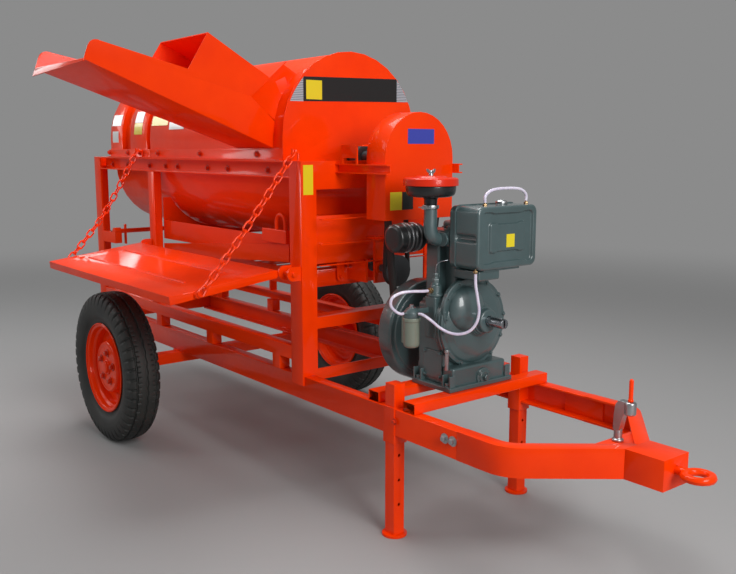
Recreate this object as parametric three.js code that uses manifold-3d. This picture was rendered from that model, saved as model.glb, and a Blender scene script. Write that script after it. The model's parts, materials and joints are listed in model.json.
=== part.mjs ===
import * as THREE from 'three';
import { mergeVertices } from 'three/addons/utils/BufferGeometryUtils.js';
import Module from 'manifold-3d';

// A trailed threshing machine, in millimetres.
// +X points forward along the tow line, +Y to the machine's left and +Z up.
// The ground is at z = 0, and the axle stands at x = 0 until the machine is centred at the end.

// Clearances
const fit = 0.3;
const runningGap = 3;
const overrun = 6;

// Wheels
const tyreDiameter = 735;
const tyreWidth = 165;
const treadGroove = 9;
const rimSeatDiameter = 406;
const rimFlangeHeight = 17;
const rimThickness = 6;
const rimWellDepth = 16;
const wheelTrack = 1400;
const discDish = 42;
const hubDiameter = 104;
const hubCapLength = 62;
const hubInnerLength = 58;
const spindleDiameter = 44;
const studDiameter = 14;
const studCircle = 72;
const studCount = 5;

// Axle and chassis
const axleBar = 55;
const beamHeight = 100;
const beamDepth = 50;
const beamWeb = 6;
const beamFlange = 8;
const beamOuterY = 362;
const beamPastLeg = 350;
const bedHeight = 40;
const bedWidth = 60;
const bedWall = 4;
const bedBehindEngine = 105;
const bedAheadOfEngine = 95;

// Prop legs
const legBehindEngine = 5;
const legSize = 50;
const legWall = 4;
const legTop = 584;
const legSlide = 0.5;
const sleeveWall = 6;
const sleeveProud = 5;
const sleeveDrop = 34;
const sleeveRise = 5;
const footDiameter = 94;
const footThickness = 9;
const pinHole = 13;
const pinPitch = 95;
const pinCount = 3;

// Drawbar
const armRun = 208;
const armBendRadius = 150;
const noseRun = 242;
const noseHalfWidth = 66;
const noseLength = 140;
const noseWall = 8;
const tongueLength = 120;
const tongueThickness = 8;
const gussetLength = 105;
const eyeRadius = 41;
const eyeBar = 27;
const eyeDrop = 42;
const eyeShank = 34;

// Thresher frame
const postThickness = 8;
const postFrontX = 1155;
const postWidth = 85;
const postDepth = 75;
const postOverlap = 38;
const middleX = -270;
const middleWidth = 70;
const middleDepth = 40;
const frameRearX = -1000;
const railBottom = 1307;
const railHeight = 69;
const railDepth = 40;
const railThickness = 6;
const lowerRailGap = 60;
const lowerRailHeight = 58;
const lowerRailDepth = 50;
const crossHeight = 48;
const upperCrossZ = 689;
const crossSkirt = 114;
const shelfDrop = 62;

// Cross shaft with a lever, low between the rear and the middle posts
const leverShaftX = -760;
const leverShaftZ = 955;
const leverShaftDiameter = 26;
const leverY = -300;
const leverWidth = 20;
const leverThickness = 8;
const leverRise = 38;
const leverFall = 75;
const leverSeatHeight = 55;
const leverSeatDepth = 40;

// Drum, blowers and their shaft
const coverHalfWidth = 350;
const coverArchZ = 1478;
const coverSheet = 5;
const coverBehindPost = 155;
const coverStrip = 44;
const frontPlateSheet = 6;
const frontPlateProud = 6;
const frontPlateBottom = 1148;
const fanStepIn = 26;
const fanFrontWidth = 210;
const fanRearWidth = 160;
const fanFrontGap = 40;
const fanMiddleGap = 110;
const shaftZ = 1390;
const shaftDiameter = 50;
const beltAheadOfPost = 250;
const casingDrop = 55;
const casingSheet = 4;
const casingSlot = 180;
const concaveDepth = 24;
const concaveBar = 16;
const concaveHoop = 10;
const concaveHoops = 3;
const concaveBars = 7;
const discRadius = 150;
const discThickness = 12;
const discCount = 3;
const beaterReach = 225;
const beaterThickness = 12;
const beaterCount = 6;
const spikeLength = 55;
const spikeSize = 14;
const spikesPerBeater = 3;
const bladeThickness = 6;
const bladeReach = 285;
const bladesPerFan = 4;

// Feed chute
const chuteBehindFront = 225;
const chuteSlope = 19.7;
const chuteMouthY = 371;
const chuteMouthZ = 1435;
const chuteMouthHalf = 153;
const chuteEndNear = 286;
const chuteEndFar = 225;
const chuteLength = 870;
const chuteSheet = 4;
const chuteEndWall = 84;
const chuteWall = 136;
const hoodMouth = 470;
const hoodPeak = 433;
const hoodPeakHeight = 299;
const hoodRearHeight = 262;
const hoodRear = 116;
const collarOut = 154;
const collarBase = 156;
const collarTopOut = 49;
const collarTop = 341;
const collarBackIn = 44;
const collarBack = 326;
const collarFlange = 14;
const roofOut = 94;
const roofHeight = 262;
const roofBackIn = 60;
const roofBackHeight = 187;
const cheekHoleOut = 18;
const cheekHoleHeight = 260;
const cheekHoleHalf = 38;
const lipDrop = 28;
const lipDropNear = 6;

// Grain side
const hopperTop = 1055;
const hopperBottom = 958;
const sieveTop = 915;
const sieveBottom = 842;
const sieveHalfWidth = 268;
const sieveAheadOfMiddle = 45;
const sieveBehindPost = 110;
const sieveSheet = 5;
const sieveTravel = 7;
const sieveSlot = 60;
const sieveSlots = 6;
const hangerWidth = 64;
const hangerThickness = 6;
const hangerY = 105;
const hangerPin = 16;
const hangerTopZ = 988;
const counterShaftZ = 925;
const counterShaftDiameter = 30;
const counterPulleyDiameter = 112;
const counterBehindBelt = 97;
const counterPulleyWidth = 30;
const eccentricThrow = 7;
const eccentricDiameter = 56;
const bracketAheadOfPost = 45;
const bracketThickness = 12;

// Belt drive
const drumPulleyDiameter = 290;
const drumSleeveDiameter = 60;
const counterDriverDiameter = 60;
const enginePulleyDiameter = 150;
const beltWidth = 36;
const beltThickness = 11;
const pulleyLip = 9;
const pulleyCheek = 5;
const guardBehindBelt = 72;
const guardAheadOfBelt = 45;
const guardHalfWidth = 178;
const guardBottom = 1148;
const guardSheet = 4;
const armHeight = 38;
const armDepth = 22;
const armSheet = 5;
const armTop = 1365;
const armPastGuard = 34;
const shaftCoverAheadOfPost = 41;
const shaftCoverLength = 105;
const shaftCoverTop = 1440;
const shaftCoverScoop = 23;

// Side platform and its chains
const platformHingeY = 405;
const platformHingeZ = 925;
const platformReach = 510;
const platformAheadOfMiddle = 20;
const platformSheet = 4;
const platformFold = 34;
const platformDroop = 7.3;
const platformRib = 10;
const knuckleDiameter = 58;
const knucklePin = 16;
const lugThickness = 8;
const chainWire = 8;
const frontChainSag = 18;
const rearChainSag = 60;
const chainLinks = 18;
const chainBossDiameter = 24;
const chainBossLength = 26;
const chainEyeInset = 110;
const chainLinkWidth = 34;
const linkBite = 0.42;
const linkFlats = 6;
const hookHeight = 34;
const hookOut = 22;
const hookRod = 10;

// Engine, measured from the crankshaft at the middle of the crankcase
const engineAheadOfBelt = 300;
const crankZ = 705;
const baseHalfLength = 107;
const baseHalfWidth = 166;
const baseThickness = 18;
const sumpHalfWidth = 140;
const crankcaseRear = 105;
const crankcaseFront = 45;
const sumpFront = 92;
const crankcaseRadius = 198;
const camHeight = 85;
const coverRadius = 150;
const coverPlate = 12;
const domeY = -50;
const domeZ = 130;
const domeRadius = 108;
const domeBulge = 58;
const sumpCoverY = 20;
const sumpCoverZ = -136;
const sumpCoverRadius = 32;
const sumpCoverProud = 20;
const blockHalfWidth = 100;
const blockFront = 30;
const blockBottom = 158;
const blockTop = 365;
const headHeight = 58;
const headOverhang = 8;
const crankDiameter = 44;
const flywheelDiameter = 410;
const flywheelRear = 268;
const flywheelRim = 74;
const flywheelRimDepth = 42;
const flywheelWeb = 22;
const startShaftDiameter = 38;
const startShaftEnd = 206;
const startShaftY = 10;
const startBossDiameter = 92;
const startBossEnd = 128;
const startNotch = 9;
const tankRear = 32;
const tankDepth = 150;
const tankRight = -112;
const tankWidth = 312;
const tankBottom = 288;
const tankHeight = 228;
const tankRound = 17;
const tankGroove = 8;
const tankPanelInset = 24;
const tankPanelProud = 3;
const capDiameter = 44;
const capHeight = 17;
const cleanerX = -25;
const cleanerY = -152;
const lidDiameter = 204;
const lidHeight = 34;
const bowlDiameter = 186;
const bowlHeight = 44;
const lidZ = 590;
const inletDiameter = 50;
const silencerX = -125;
const silencerZ = 390;
const silencerDiameter = 108;
const silencerEnd = 252;
const filterX = -30;
const filterY = -236;
const filterDiameter = 58;
const filterBottom = -6;
const filterHeight = 112;
const filterHeadHeight = 36;
const pumpX = -7;
const pumpY = -138;
const pumpDiameter = 54;
const pumpHeight = 84;
const padTop = 180;
const hoseDiameter = 11;
const nippleDiameter = 10;
const nippleLength = 12;

// Starting handle kept on the drawbar
const handleBehindNose = 75;
const pegDiameter = 18;
const pegHeight = 40;
const handleHubDiameter = 36;
const handleHubHeight = 74;
const handleArm = 42;
const gripDiameter = 20;
const gripLength = 78;

// An arc of an outline is drawn with twice this many flats.
const archSteps = 8;
const smallSteps = 4;

// Places worked out from the sizes above
const axleZ = tyreDiameter / 2;
const beamRearX = frameRearX;
const coverFrontX = postFrontX - coverBehindPost;
const chuteX = coverFrontX - chuteBehindFront;
const sieveFrontX = postFrontX - sieveBehindPost;
const sieveRearX = middleX + middleWidth + sieveAheadOfMiddle;
const bracketX = postFrontX + bracketAheadOfPost;
const beltX = postFrontX + beltAheadOfPost;
const counterPulleyX = beltX - counterBehindBelt;
const guardRearX = beltX - guardBehindBelt;
const guardFrontX = beltX + guardAheadOfBelt;
const armEndX = guardFrontX + armPastGuard;
const shaftCoverX = postFrontX + shaftCoverAheadOfPost;
const platformRearX = middleX + platformAheadOfMiddle;
const platformFrontX = postFrontX - postWidth;
const engineX = beltX + engineAheadOfBelt;
const bedRearX = engineX - bedBehindEngine;
const bedFrontX = engineX + bedAheadOfEngine;
const legX = engineX - legBehindEngine;
const beamFrontX = legX + beamPastLeg;
const armBendX = beamFrontX + armRun;
const noseX = armBendX + noseRun;
const handleX = noseX - handleBehindNose;
const beamBottom = axleZ + axleBar / 2 + fit;
const beamTop = beamBottom + beamHeight;
const bedTop = beamTop + fit + bedHeight;
const sleeveSize = legSize + 2 * legSlide + 2 * sleeveWall;
const legY = beamOuterY + sleeveProud - sleeveSize / 2;
const sleeveBottom = beamBottom - sleeveDrop;
const sleeveTop = beamTop + sleeveRise;
const postOuterY = beamOuterY + fit + postThickness;
const railTop = railBottom + railHeight;
const railWebY = postOuterY - railDepth;
const railInnerY = railWebY - railThickness;
const postFrontRearX = postFrontX - postWidth;
const postRearFrontX = frameRearX + postWidth;
const lowerRailBottom = beamTop + lowerRailGap;
const lowerRailTop = lowerRailBottom + lowerRailHeight;
const shelfTop = shaftZ - shelfDrop;
const casingRadius = railInnerY - fit;
const casingZ = shaftZ - casingDrop;
const fanFrontX = middleX - fanFrontGap;
const fanFrontRearX = fanFrontX - fanFrontWidth;
const fanRearFrontX = fanFrontRearX - fanMiddleGap;
const fanRearX = fanRearFrontX - fanRearWidth;
const shaftRadius = shaftDiameter / 2;
const noseEndX = noseX + noseLength;

// Turns a closed three.js mesh into a solid that can be joined and cut.
const wasm = await Module();
wasm.setup();

function signedVolume(position, index) {
  const a = new THREE.Vector3();
  const b = new THREE.Vector3();
  const c = new THREE.Vector3();
  let sum = 0;
  for (let i = 0; i < index.length; i += 3) {
    a.fromArray(position, 3 * index[i]);
    b.fromArray(position, 3 * index[i + 1]);
    c.fromArray(position, 3 * index[i + 2]);
    sum += a.dot(b.cross(c));
  }
  return sum;
}

function solid(geometry) {
  const bare = geometry.clone();
  bare.deleteAttribute('normal');
  bare.deleteAttribute('uv');
  const merged = mergeVertices(bare);
  const position = merged.attributes.position.array;
  const corners = merged.index.array;
  const kept = [];
  for (let i = 0; i < corners.length; i += 3) {
    const [a, b, c] = [corners[i], corners[i + 1], corners[i + 2]];
    if (a !== b && b !== c && c !== a) {
      kept.push(a, b, c);
    }
  }
  if (signedVolume(position, kept) < 0) {
    kept.reverse();
  }
  return new wasm.Manifold(new wasm.Mesh({
    numProp: 3,
    vertProperties: new Float32Array(position),
    triVerts: new Uint32Array(kept),
  }));
}

function shell(body) {
  const mesh = body.getMesh();
  const geometry = new THREE.BufferGeometry();
  geometry.setAttribute('position', new THREE.BufferAttribute(mesh.vertProperties, 3));
  geometry.setIndex(new THREE.BufferAttribute(mesh.triVerts, 1));
  geometry.computeVertexNormals();
  return geometry;
}

function join(...pieces) {
  return shell(pieces.map(solid).reduce((sum, piece) => sum.add(piece)));
}

function cut(body, ...tools) {
  return shell(tools.map(solid).reduce((rest, tool) => rest.subtract(tool), solid(body)));
}

function common(...pieces) {
  return shell(pieces.map(solid).reduce((rest, piece) => rest.intersect(piece)));
}

// Basic forms, each a closed mesh
function block(x0, x1, y0, y1, z0, z1) {
  const box = new THREE.BoxGeometry(x1 - x0, y1 - y0, z1 - z0);
  return box.translate((x0 + x1) / 2, (y0 + y1) / 2, (z0 + z1) / 2);
}

// An outline drawn in (y, z), (x, z) or (x, y) is pushed along X, Y or Z.
const pushed = {
  x: new THREE.Matrix4().set(0, 0, 1, 0, 1, 0, 0, 0, 0, 1, 0, 0, 0, 0, 0, 1),
  y: new THREE.Matrix4().set(1, 0, 0, 0, 0, 0, -1, 0, 0, 1, 0, 0, 0, 0, 0, 1),
  z: new THREE.Matrix4(),
};

function outlineOf(points) {
  return new THREE.Shape(points.map(([a, b]) => new THREE.Vector2(a, b)));
}

function extrude(shape, axis, from, to, curveSegments = smallSteps) {
  const settings = { depth: to - from, bevelEnabled: false, curveSegments };
  const geometry = new THREE.ExtrudeGeometry(shape, settings);
  geometry.applyMatrix4(pushed[axis]);
  const shift = { x: [from, 0, 0], y: [0, to, 0], z: [0, 0, from] }[axis];
  return geometry.translate(...shift);
}

// A turned form: each profile point is a radius and a place along the axis.
function turned(profile, axis, centre, segments = 24) {
  const points = profile.map(([radius, along]) => new THREE.Vector2(radius, along));
  const geometry = new THREE.LatheGeometry(points, segments);
  if (axis === 'x') {
    geometry.rotateZ(-Math.PI / 2);
  }
  if (axis === 'z') {
    geometry.rotateX(Math.PI / 2);
  }
  return shell(solid(geometry.translate(...centre)));
}

function rod(diameter, axis, from, to, centre, segments = 16) {
  const radius = diameter / 2;
  const profile = [[0, from], [radius, from], [radius, to], [0, to]];
  return turned(profile, axis, centre, segments);
}

// The radius at which a turned hole's flats stay clear of the given radius
function clearOf(radius, segments) {
  return (radius + fit) / Math.cos(Math.PI / segments);
}

function bore(diameter, axis, from, to, centre, segments = 16) {
  return rod(2 * clearOf(diameter / 2, segments), axis, from, to, centre, segments);
}

function pipe(points, diameter, sides, steps) {
  const places = points.map((point) => new THREE.Vector3(...point));
  const route = new THREE.CatmullRomCurve3(places, false, 'centripetal');
  const section = new THREE.Shape();
  section.absarc(0, 0, diameter / 2, 0, 2 * Math.PI);
  const corners = section.getPoints(sides / 2).slice(0, -1);
  return new THREE.ExtrudeGeometry(new THREE.Shape(corners), { steps, extrudePath: route });
}

function mirrored(geometry) {
  return shell(solid(geometry.clone().scale(1, -1, 1)));
}

// An arch: straight sides up to the centre height and a half circle above.
function arch(halfWidth, bottom, centreZ) {
  const shape = new THREE.Shape();
  shape.moveTo(-halfWidth, bottom);
  shape.lineTo(halfWidth, bottom);
  shape.lineTo(halfWidth, centreZ);
  shape.absarc(0, centreZ, halfWidth, 0, Math.PI);
  return shape;
}

function archShell(x0, x1, halfWidth, bottom, centreZ, sheet) {
  const inside = arch(halfWidth - sheet, bottom - overrun, centreZ);
  const outer = extrude(arch(halfWidth, bottom, centreZ), 'x', x0, x1, archSteps);
  return cut(outer, extrude(inside, 'x', x0 - overrun, x1 + overrun, archSteps));
}

// Paint, rubber, metal and plastic
function material(color, metalness, roughness) {
  return new THREE.MeshStandardMaterial({ color, metalness, roughness });
}

const orangePaint = material('#e8330a', 0, 0.38);
const tyreRubber = material('#24241f', 0, 0.9);
const engineGrey = material('#46524f', 0.1, 0.5);
const castGrey = material('#56595c', 0.6, 0.55);
const blackPaint = material('#17181a', 0, 0.45);
const bareSteel = material('#8d8f90', 0.9, 0.4);
const beltRubber = material('#1d1d1c', 0, 0.85);
const hosePlastic = material('#d9d2e4', 0, 0.4);
const filterGrey = material('#8b8d84', 0.3, 0.5);

const machine = new THREE.Group();

function add(group, name, geometry, paint) {
  const mesh = new THREE.Mesh(geometry, paint);
  mesh.name = name;
  group.add(mesh);
  return mesh;
}

// Wheels, modelled about their own centre with the outside towards -Y
const rimRadius = rimSeatDiameter / 2;
const flangeRadius = rimRadius + rimFlangeHeight;
const beadHalf = 0.35 * tyreWidth;

function tyre() {
  const radius = tyreDiameter / 2;
  const half = tyreWidth / 2;
  const beadRadius = rimRadius + fit;
  const side = [
    [beadRadius, beadHalf],
    [flangeRadius + 2 * fit, beadHalf],
    [flangeRadius + 0.36 * (radius - flangeRadius), half],
    [radius - 0.16 * (radius - flangeRadius), 0.9 * half],
    [radius - 0.02 * (radius - flangeRadius), 0.68 * half],
    [radius, 0.36 * half],
    [radius - treadGroove, 0.33 * half],
    [radius - treadGroove, 0.2 * half],
    [radius, 0.17 * half],
  ];
  const back = side.slice().reverse().map(([r, h]) => [r, -h]);
  return turned([...side, ...back, side[0]], 'y', [0, 0, 0], 24);
}

function rim() {
  const edge = beadHalf + fit;
  const inner = rimRadius - rimThickness;
  const barrel = turned([
    [flangeRadius, -edge - rimThickness],
    [flangeRadius, -edge],
    [rimRadius, -edge],
    [rimRadius, edge],
    [flangeRadius, edge],
    [flangeRadius, edge + rimThickness],
    [inner, edge + rimThickness],
    [inner, -edge - rimThickness],
    [flangeRadius, -edge - rimThickness],
  ], 'y', [0, 0, 0], 24);
  const reach = rimRadius - rimThickness / 2;
  const dish = 0.62 * reach;
  const seat = clearOf(spindleDiameter / 2, 18);
  const hub = hubDiameter / 2;
  const disc = turned([
    [seat, hubInnerLength],
    [seat, -hubCapLength + rimThickness],
    [0, -hubCapLength + rimThickness],
    [0, -hubCapLength],
    [0.62 * hub, -hubCapLength],
    [0.72 * hub, -discDish],
    [dish, -discDish],
    [dish + rimWellDepth, -0.5 * rimThickness],
    [reach, -0.5 * rimThickness],
    [reach, 0.5 * rimThickness],
    [dish + 0.6 * rimWellDepth, 0.5 * rimThickness],
    [0.92 * dish, -discDish + rimThickness],
    [hub, -discDish + rimThickness],
    [hub, hubInnerLength],
    [seat, hubInnerLength],
  ], 'y', [0, 0, 0], 18);
  const studs = [];
  for (let i = 0; i < studCount; i += 1) {
    const angle = (2 * Math.PI * i) / studCount;
    const centre = [studCircle * Math.cos(angle), 0, studCircle * Math.sin(angle)];
    studs.push(rod(1.6 * studDiameter, 'y', -discDish - studDiameter, -discDish + rimThickness / 2,
      centre, 6));
  }
  return join(barrel, disc, ...studs);
}

function wheel(side, mirror) {
  const group = new THREE.Group();
  group.position.set(0, mirror * wheelTrack / 2, axleZ);
  group.rotation.z = mirror > 0 ? Math.PI : 0;
  add(group, `tyre_${side}`, tyre(), tyreRubber);
  add(group, `wheel_${side}`, rim(), orangePaint);
  machine.add(group);
}

wheel('right', -1);
wheel('left', 1);

// Axle bar with a round spindle at each end and the clamp plates under the beams
function axle() {
  const barHalf = wheelTrack / 2 - hubInnerLength - runningGap;
  const spindleEnd = wheelTrack / 2 + hubCapLength - rimThickness - fit;
  const half = axleBar / 2;
  const bar = block(-half, half, -barHalf, barHalf, axleZ - half, axleZ + half);
  const spindle = rod(spindleDiameter, 'y', -spindleEnd, spindleEnd, [0, 0, axleZ]);
  const plates = [-1, 1].map((side) => {
    const y = side * (beamOuterY - beamDepth / 2);
    return block(-axleBar, axleBar, y - half, y + half, axleZ + half - rimThickness, axleZ + half);
  });
  return join(bar, spindle, ...plates);
}

add(machine, 'axle', axle(), orangePaint);

// Chassis beams are channels that open inwards, each with a prop-leg sleeve
function chassisBeam() {
  const outer = -beamOuterY;
  const inner = outer + beamDepth;
  const web = block(beamRearX, beamFrontX, outer, outer + beamWeb, beamBottom, beamTop);
  const floor = block(beamRearX, beamFrontX, outer, inner, beamBottom, beamBottom + beamFlange);
  const roof = block(beamRearX, beamFrontX, outer, inner, beamTop - beamFlange, beamTop);
  const half = sleeveSize / 2;
  const inside = half - sleeveWall;
  const sleeve = block(legX - half, legX + half, -legY - half, -legY + half, sleeveBottom, sleeveTop);
  const hole = block(legX - inside, legX + inside, -legY - inside, -legY + inside,
    sleeveBottom - overrun, sleeveTop + overrun);
  return cut(join(web, floor, roof, sleeve), hole);
}

add(machine, 'chassis_beam_right', chassisBeam(), orangePaint);
add(machine, 'chassis_beam_left', mirrored(chassisBeam()), orangePaint);

// A box section along Y, open at both ends
function boxBar(x0, x1, y0, y1, z0, z1, wall) {
  const outer = block(x0, x1, y0, y1, z0, z1);
  return cut(outer, block(x0 + wall, x1 - wall, y0 - overrun, y1 + overrun, z0 + wall, z1 - wall));
}

function engineBed(x, room) {
  const half = bedWidth / 2;
  const end = beamOuterY - room;
  return boxBar(x - half, x + half, -end, end, beamTop + fit, bedTop, bedWall);
}

add(machine, 'engine_bed_rear', engineBed(bedRearX, beamWeb), orangePaint);
add(machine, 'engine_bed_front', engineBed(bedFrontX, beamWeb), orangePaint);

// Prop leg: a square tube with a round foot and pin holes
function propLeg(y) {
  const half = legSize / 2;
  const tube = block(legX - half, legX + half, y - half, y + half, footThickness / 2, legTop);
  const core = half - legWall;
  const hollow = block(legX - core, legX + core, y - core, y + core, footThickness, legTop - legWall);
  const foot = rod(footDiameter, 'z', 0, footThickness, [legX, y, 0], 24);
  const holes = [];
  for (let i = 0; i < pinCount; i += 1) {
    const z = sleeveBottom - (i + 0.5) * pinPitch;
    holes.push(rod(pinHole, 'x', legX - half - overrun, legX + half + overrun, [0, y, z], 6));
  }
  return cut(join(tube, foot), hollow, ...holes);
}

add(machine, 'leg_right', propLeg(-legY), orangePaint);
add(machine, 'leg_left', propLeg(legY), orangePaint);

// Drawbar arm: a channel that runs on from the beam and bends in to the nose
function bentPath(points, radius) {
  const path = new THREE.Path();
  const [start, bend, end] = points.map(([x, y]) => new THREE.Vector2(x, y));
  const into = start.clone().sub(bend).normalize();
  const out = end.clone().sub(bend).normalize();
  const reach = radius / Math.tan(into.angleTo(out) / 2);
  const from = bend.clone().addScaledVector(into, reach);
  const to = bend.clone().addScaledVector(out, reach);
  path.moveTo(start.x, start.y);
  path.lineTo(from.x, from.y);
  path.quadraticCurveTo(bend.x, bend.y, to.x, to.y);
  path.lineTo(end.x, end.y);
  return path.getPoints(6);
}

function band(points, near, far) {
  const side = (distance) => points.map((point, i) => {
    const before = points[Math.max(i - 1, 0)];
    const after = points[Math.min(i + 1, points.length - 1)];
    const along = after.clone().sub(before).normalize();
    return new THREE.Vector2(point.x - along.y * distance, point.y + along.x * distance);
  });
  return new THREE.Shape([...side(near), ...side(far).reverse()]);
}

function drawbarArm() {
  const outer = -beamOuterY;
  const line = bentPath([[beamFrontX + fit, outer], [armBendX, outer], [noseX, -noseHalfWidth]],
    armBendRadius);
  const past = line[line.length - 1].clone().sub(line[line.length - 2]).setLength(beamDepth);
  line[line.length - 1].add(past);
  const web = extrude(band(line, 0, beamWeb), 'z', beamBottom, beamTop);
  const floor = extrude(band(line, 0, beamDepth), 'z', beamBottom, beamBottom + beamFlange);
  const roof = extrude(band(line, 0, beamDepth), 'z', beamTop - beamFlange, beamTop);
  const room = beamFlange + fit;
  const inside = outer + beamWeb + fit;
  const tongue = block(
    beamFrontX - tongueLength, beamFrontX + tongueLength / 2,
    inside, inside + tongueThickness, beamBottom + room, beamTop - room,
  );
  const bridge = block(
    beamFrontX + 2 * fit, beamFrontX + tongueLength / 2,
    outer, inside + tongueThickness, beamBottom + room, beamTop - room,
  );
  const keep = block(beamFrontX - 2 * tongueLength, noseX - fit, -2 * beamOuterY, -fit / 2, beamBottom,
    beamTop);
  return common(join(web, floor, roof, tongue, bridge), keep);
}

add(machine, 'drawbar_arm_right', drawbarArm(), orangePaint);
add(machine, 'drawbar_arm_left', mirrored(drawbarArm()), orangePaint);

// Drawbar nose: a box open at the rear, with the gusset that carries the handle peg
const gussetTop = beamTop - beamFlange - fit;

function drawbarNose() {
  const outer = block(noseX, noseEndX, -noseHalfWidth, noseHalfWidth, beamBottom, beamTop);
  const core = noseHalfWidth - noseWall;
  const hollow = block(noseX - overrun, noseEndX - noseWall, -core, core, beamBottom + noseWall,
    beamTop - noseWall);
  const slope = (beamOuterY - noseHalfWidth) / (noseX - armBendX);
  const room = 2.2 * beamWeb;
  const half = noseHalfWidth - room;
  const rear = half + gussetLength * slope;
  const plate = extrude(outlineOf([
    [noseX - gussetLength, -rear],
    [noseX + noseWall, -half + noseWall * slope],
    [noseX + noseWall, half - noseWall * slope],
    [noseX - gussetLength, rear],
  ]), 'z', gussetTop - noseWall, gussetTop);
  const rib = block(noseX, noseX + noseWall, -half, half, gussetTop - 2 * noseWall,
    beamTop - noseWall / 2);
  const peg = rod(pegDiameter, 'z', gussetTop - noseWall, gussetTop + pegHeight, [handleX, 0, 0]);
  const shank = bore(eyeBar, 'x', noseEndX - noseWall - overrun, noseEndX + overrun,
    [0, 0, beamTop - eyeDrop]);
  return cut(join(cut(outer, hollow), plate, rib, peg), shank);
}

add(machine, 'drawbar_nose', drawbarNose(), orangePaint);

// Tow eye: a round ring on a shank through the nose plate, with a nut inside
function towEye() {
  const z = beamTop - eyeDrop;
  const x = noseEndX + eyeShank + eyeRadius;
  const ring = new THREE.TorusGeometry(eyeRadius, eyeBar / 2, 8, 16).translate(x, 0, z);
  const shank = rod(eyeBar, 'x', noseEndX - 3 * noseWall, noseEndX + eyeShank, [0, 0, z]);
  const nut = rod(1.7 * eyeBar, 'x', noseEndX - 3 * noseWall, noseEndX - noseWall - fit, [0, 0, z], 6);
  const face = block(x - 2 * eyeRadius, x + 2 * eyeRadius, -2 * eyeRadius, 2 * eyeRadius,
    z + 0.44 * eyeBar, z + eyeBar);
  return cut(join(ring, shank, nut), face);
}

add(machine, 'tow_eye', towEye(), orangePaint);

// Thresher frame: angle posts in pairs, joined by cross rails
function anglePost(x0, x1, faceX0, faceX1, bottom, top, depth = postDepth) {
  const skin = block(x0, x1, -postOuterY, -postOuterY + postThickness, bottom, top);
  const seat = Math.max(bottom, beamTop + fit);
  const face = block(faceX0, faceX1, -postOuterY, -postOuterY + depth, seat, top);
  return join(skin, face);
}

function pair(post) {
  return [post, mirrored(post)];
}

function hingeLug(x0) {
  const lug = new THREE.Shape();
  const radius = knuckleDiameter / 2;
  lug.moveTo(-postOuterY + postThickness / 2, platformHingeZ - radius);
  lug.lineTo(-platformHingeY, platformHingeZ - radius);
  lug.absarc(-platformHingeY, platformHingeZ, radius, -Math.PI / 2, Math.PI / 2, true);
  lug.lineTo(-postOuterY + postThickness / 2, platformHingeZ + radius);
  return extrude(lug, 'x', x0, x0 + lugThickness);
}

function hingePin(x0, x1) {
  return rod(knucklePin, 'x', x0, x1, [0, -platformHingeY, platformHingeZ], 12);
}

const lugFrontX = platformFrontX + runningGap;
const lugRearX = platformRearX - runningGap - lugThickness;
const pinReach = 30;

// A hook of round rod that stands up from the frame and holds a chain
function chainHook(x, inset) {
  const y = -postOuterY + inset;
  const stem = rod(hookRod, 'z', railTop - railThickness, railTop + hookHeight, [x, y, 0], 8);
  const arm = rod(hookRod, 'y', -postOuterY - hookOut, y, [x, 0, railTop + hookHeight], 8);
  const tip = rod(hookRod, 'z', railTop + hookHeight - hookRod / 2,
    railTop + hookHeight + 1.5 * hookRod,
    [x, -postOuterY - hookOut, 0], 8);
  return join(stem, arm, tip);
}

const frontHookX = postFrontX - hookOut;
const rearHookX = middleX - 4 * hookOut;
const rearHookInset = railDepth / 3;

// Top rails are channels with their flanges outwards
function topRail() {
  const x0 = postRearFrontX - postThickness;
  const x1 = postFrontRearX - fit;
  const web = block(x0, x1, -railWebY, -railInnerY, railBottom, railTop);
  const roof = block(x0, x1, -postOuterY, -railInnerY, railTop - railThickness, railTop);
  const floor = block(x0, x1, -postOuterY, -railInnerY, railBottom, railBottom + railThickness);
  return join(web, roof, floor);
}

function frontFrame() {
  const faceX = postFrontX - postThickness;
  const post = anglePost(postFrontRearX, postFrontX, faceX, postFrontX, beamTop - postOverlap, railTop);
  const end = postOuterY - postThickness / 2;
  const lowCross = block(faceX, postFrontX, -end + postDepth / 2, end - postDepth / 2,
    beamTop + fit - crossHeight / 2, beamTop + fit + crossHeight / 2);
  const inner = beamOuterY - beamDepth - fit;
  const room = block(faceX - overrun, postFrontX + overrun, inner, 2 * end, beamTop - crossHeight,
    beamTop + fit);
  const cross = block(faceX, postFrontX, -end, end, upperCrossZ, upperCrossZ + crossHeight);
  const ledge = block(postFrontRearX + postThickness, postFrontX, -inner, inner,
    upperCrossZ + crossHeight - postThickness,
    upperCrossZ + crossHeight);
  const skirt = block(faceX, postFrontX, -end, end, railTop - crossSkirt, railTop);
  const shelf = block(coverFrontX + frontPlateSheet + 2 * fit, postFrontX, -casingRadius, casingRadius,
    shelfTop - postThickness, shelfTop);
  const opening = block(faceX - overrun, postFrontX + overrun, -shaftRadius - runningGap,
    shaftRadius + runningGap,
    shaftZ - shaftRadius - runningGap, railTop + overrun);
  const lug = hingeLug(lugFrontX);
  const pin = hingePin(platformFrontX - pinReach, lugFrontX + lugThickness);
  const hook = chainHook(frontHookX, postThickness / 2);
  const frame = join(...pair(post), cut(lowCross, room, mirrored(room)), cross, ledge, skirt, shelf,
    lug, pin, hook);
  return cut(frame, opening);
}

function middleFrame() {
  const post = anglePost(middleX, middleX + middleWidth, middleX + middleWidth - postThickness,
    middleX + middleWidth,
    lowerRailTop + fit, railBottom - fit, middleDepth);
  const end = postOuterY - postThickness / 2;
  const cross = block(middleX + middleWidth - postThickness, middleX + middleWidth, -end, end,
    upperCrossZ, upperCrossZ + crossHeight);
  const lug = hingeLug(lugRearX);
  const pin = hingePin(lugRearX, platformRearX + pinReach);
  return join(...pair(post), cross, lug, pin);
}

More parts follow.
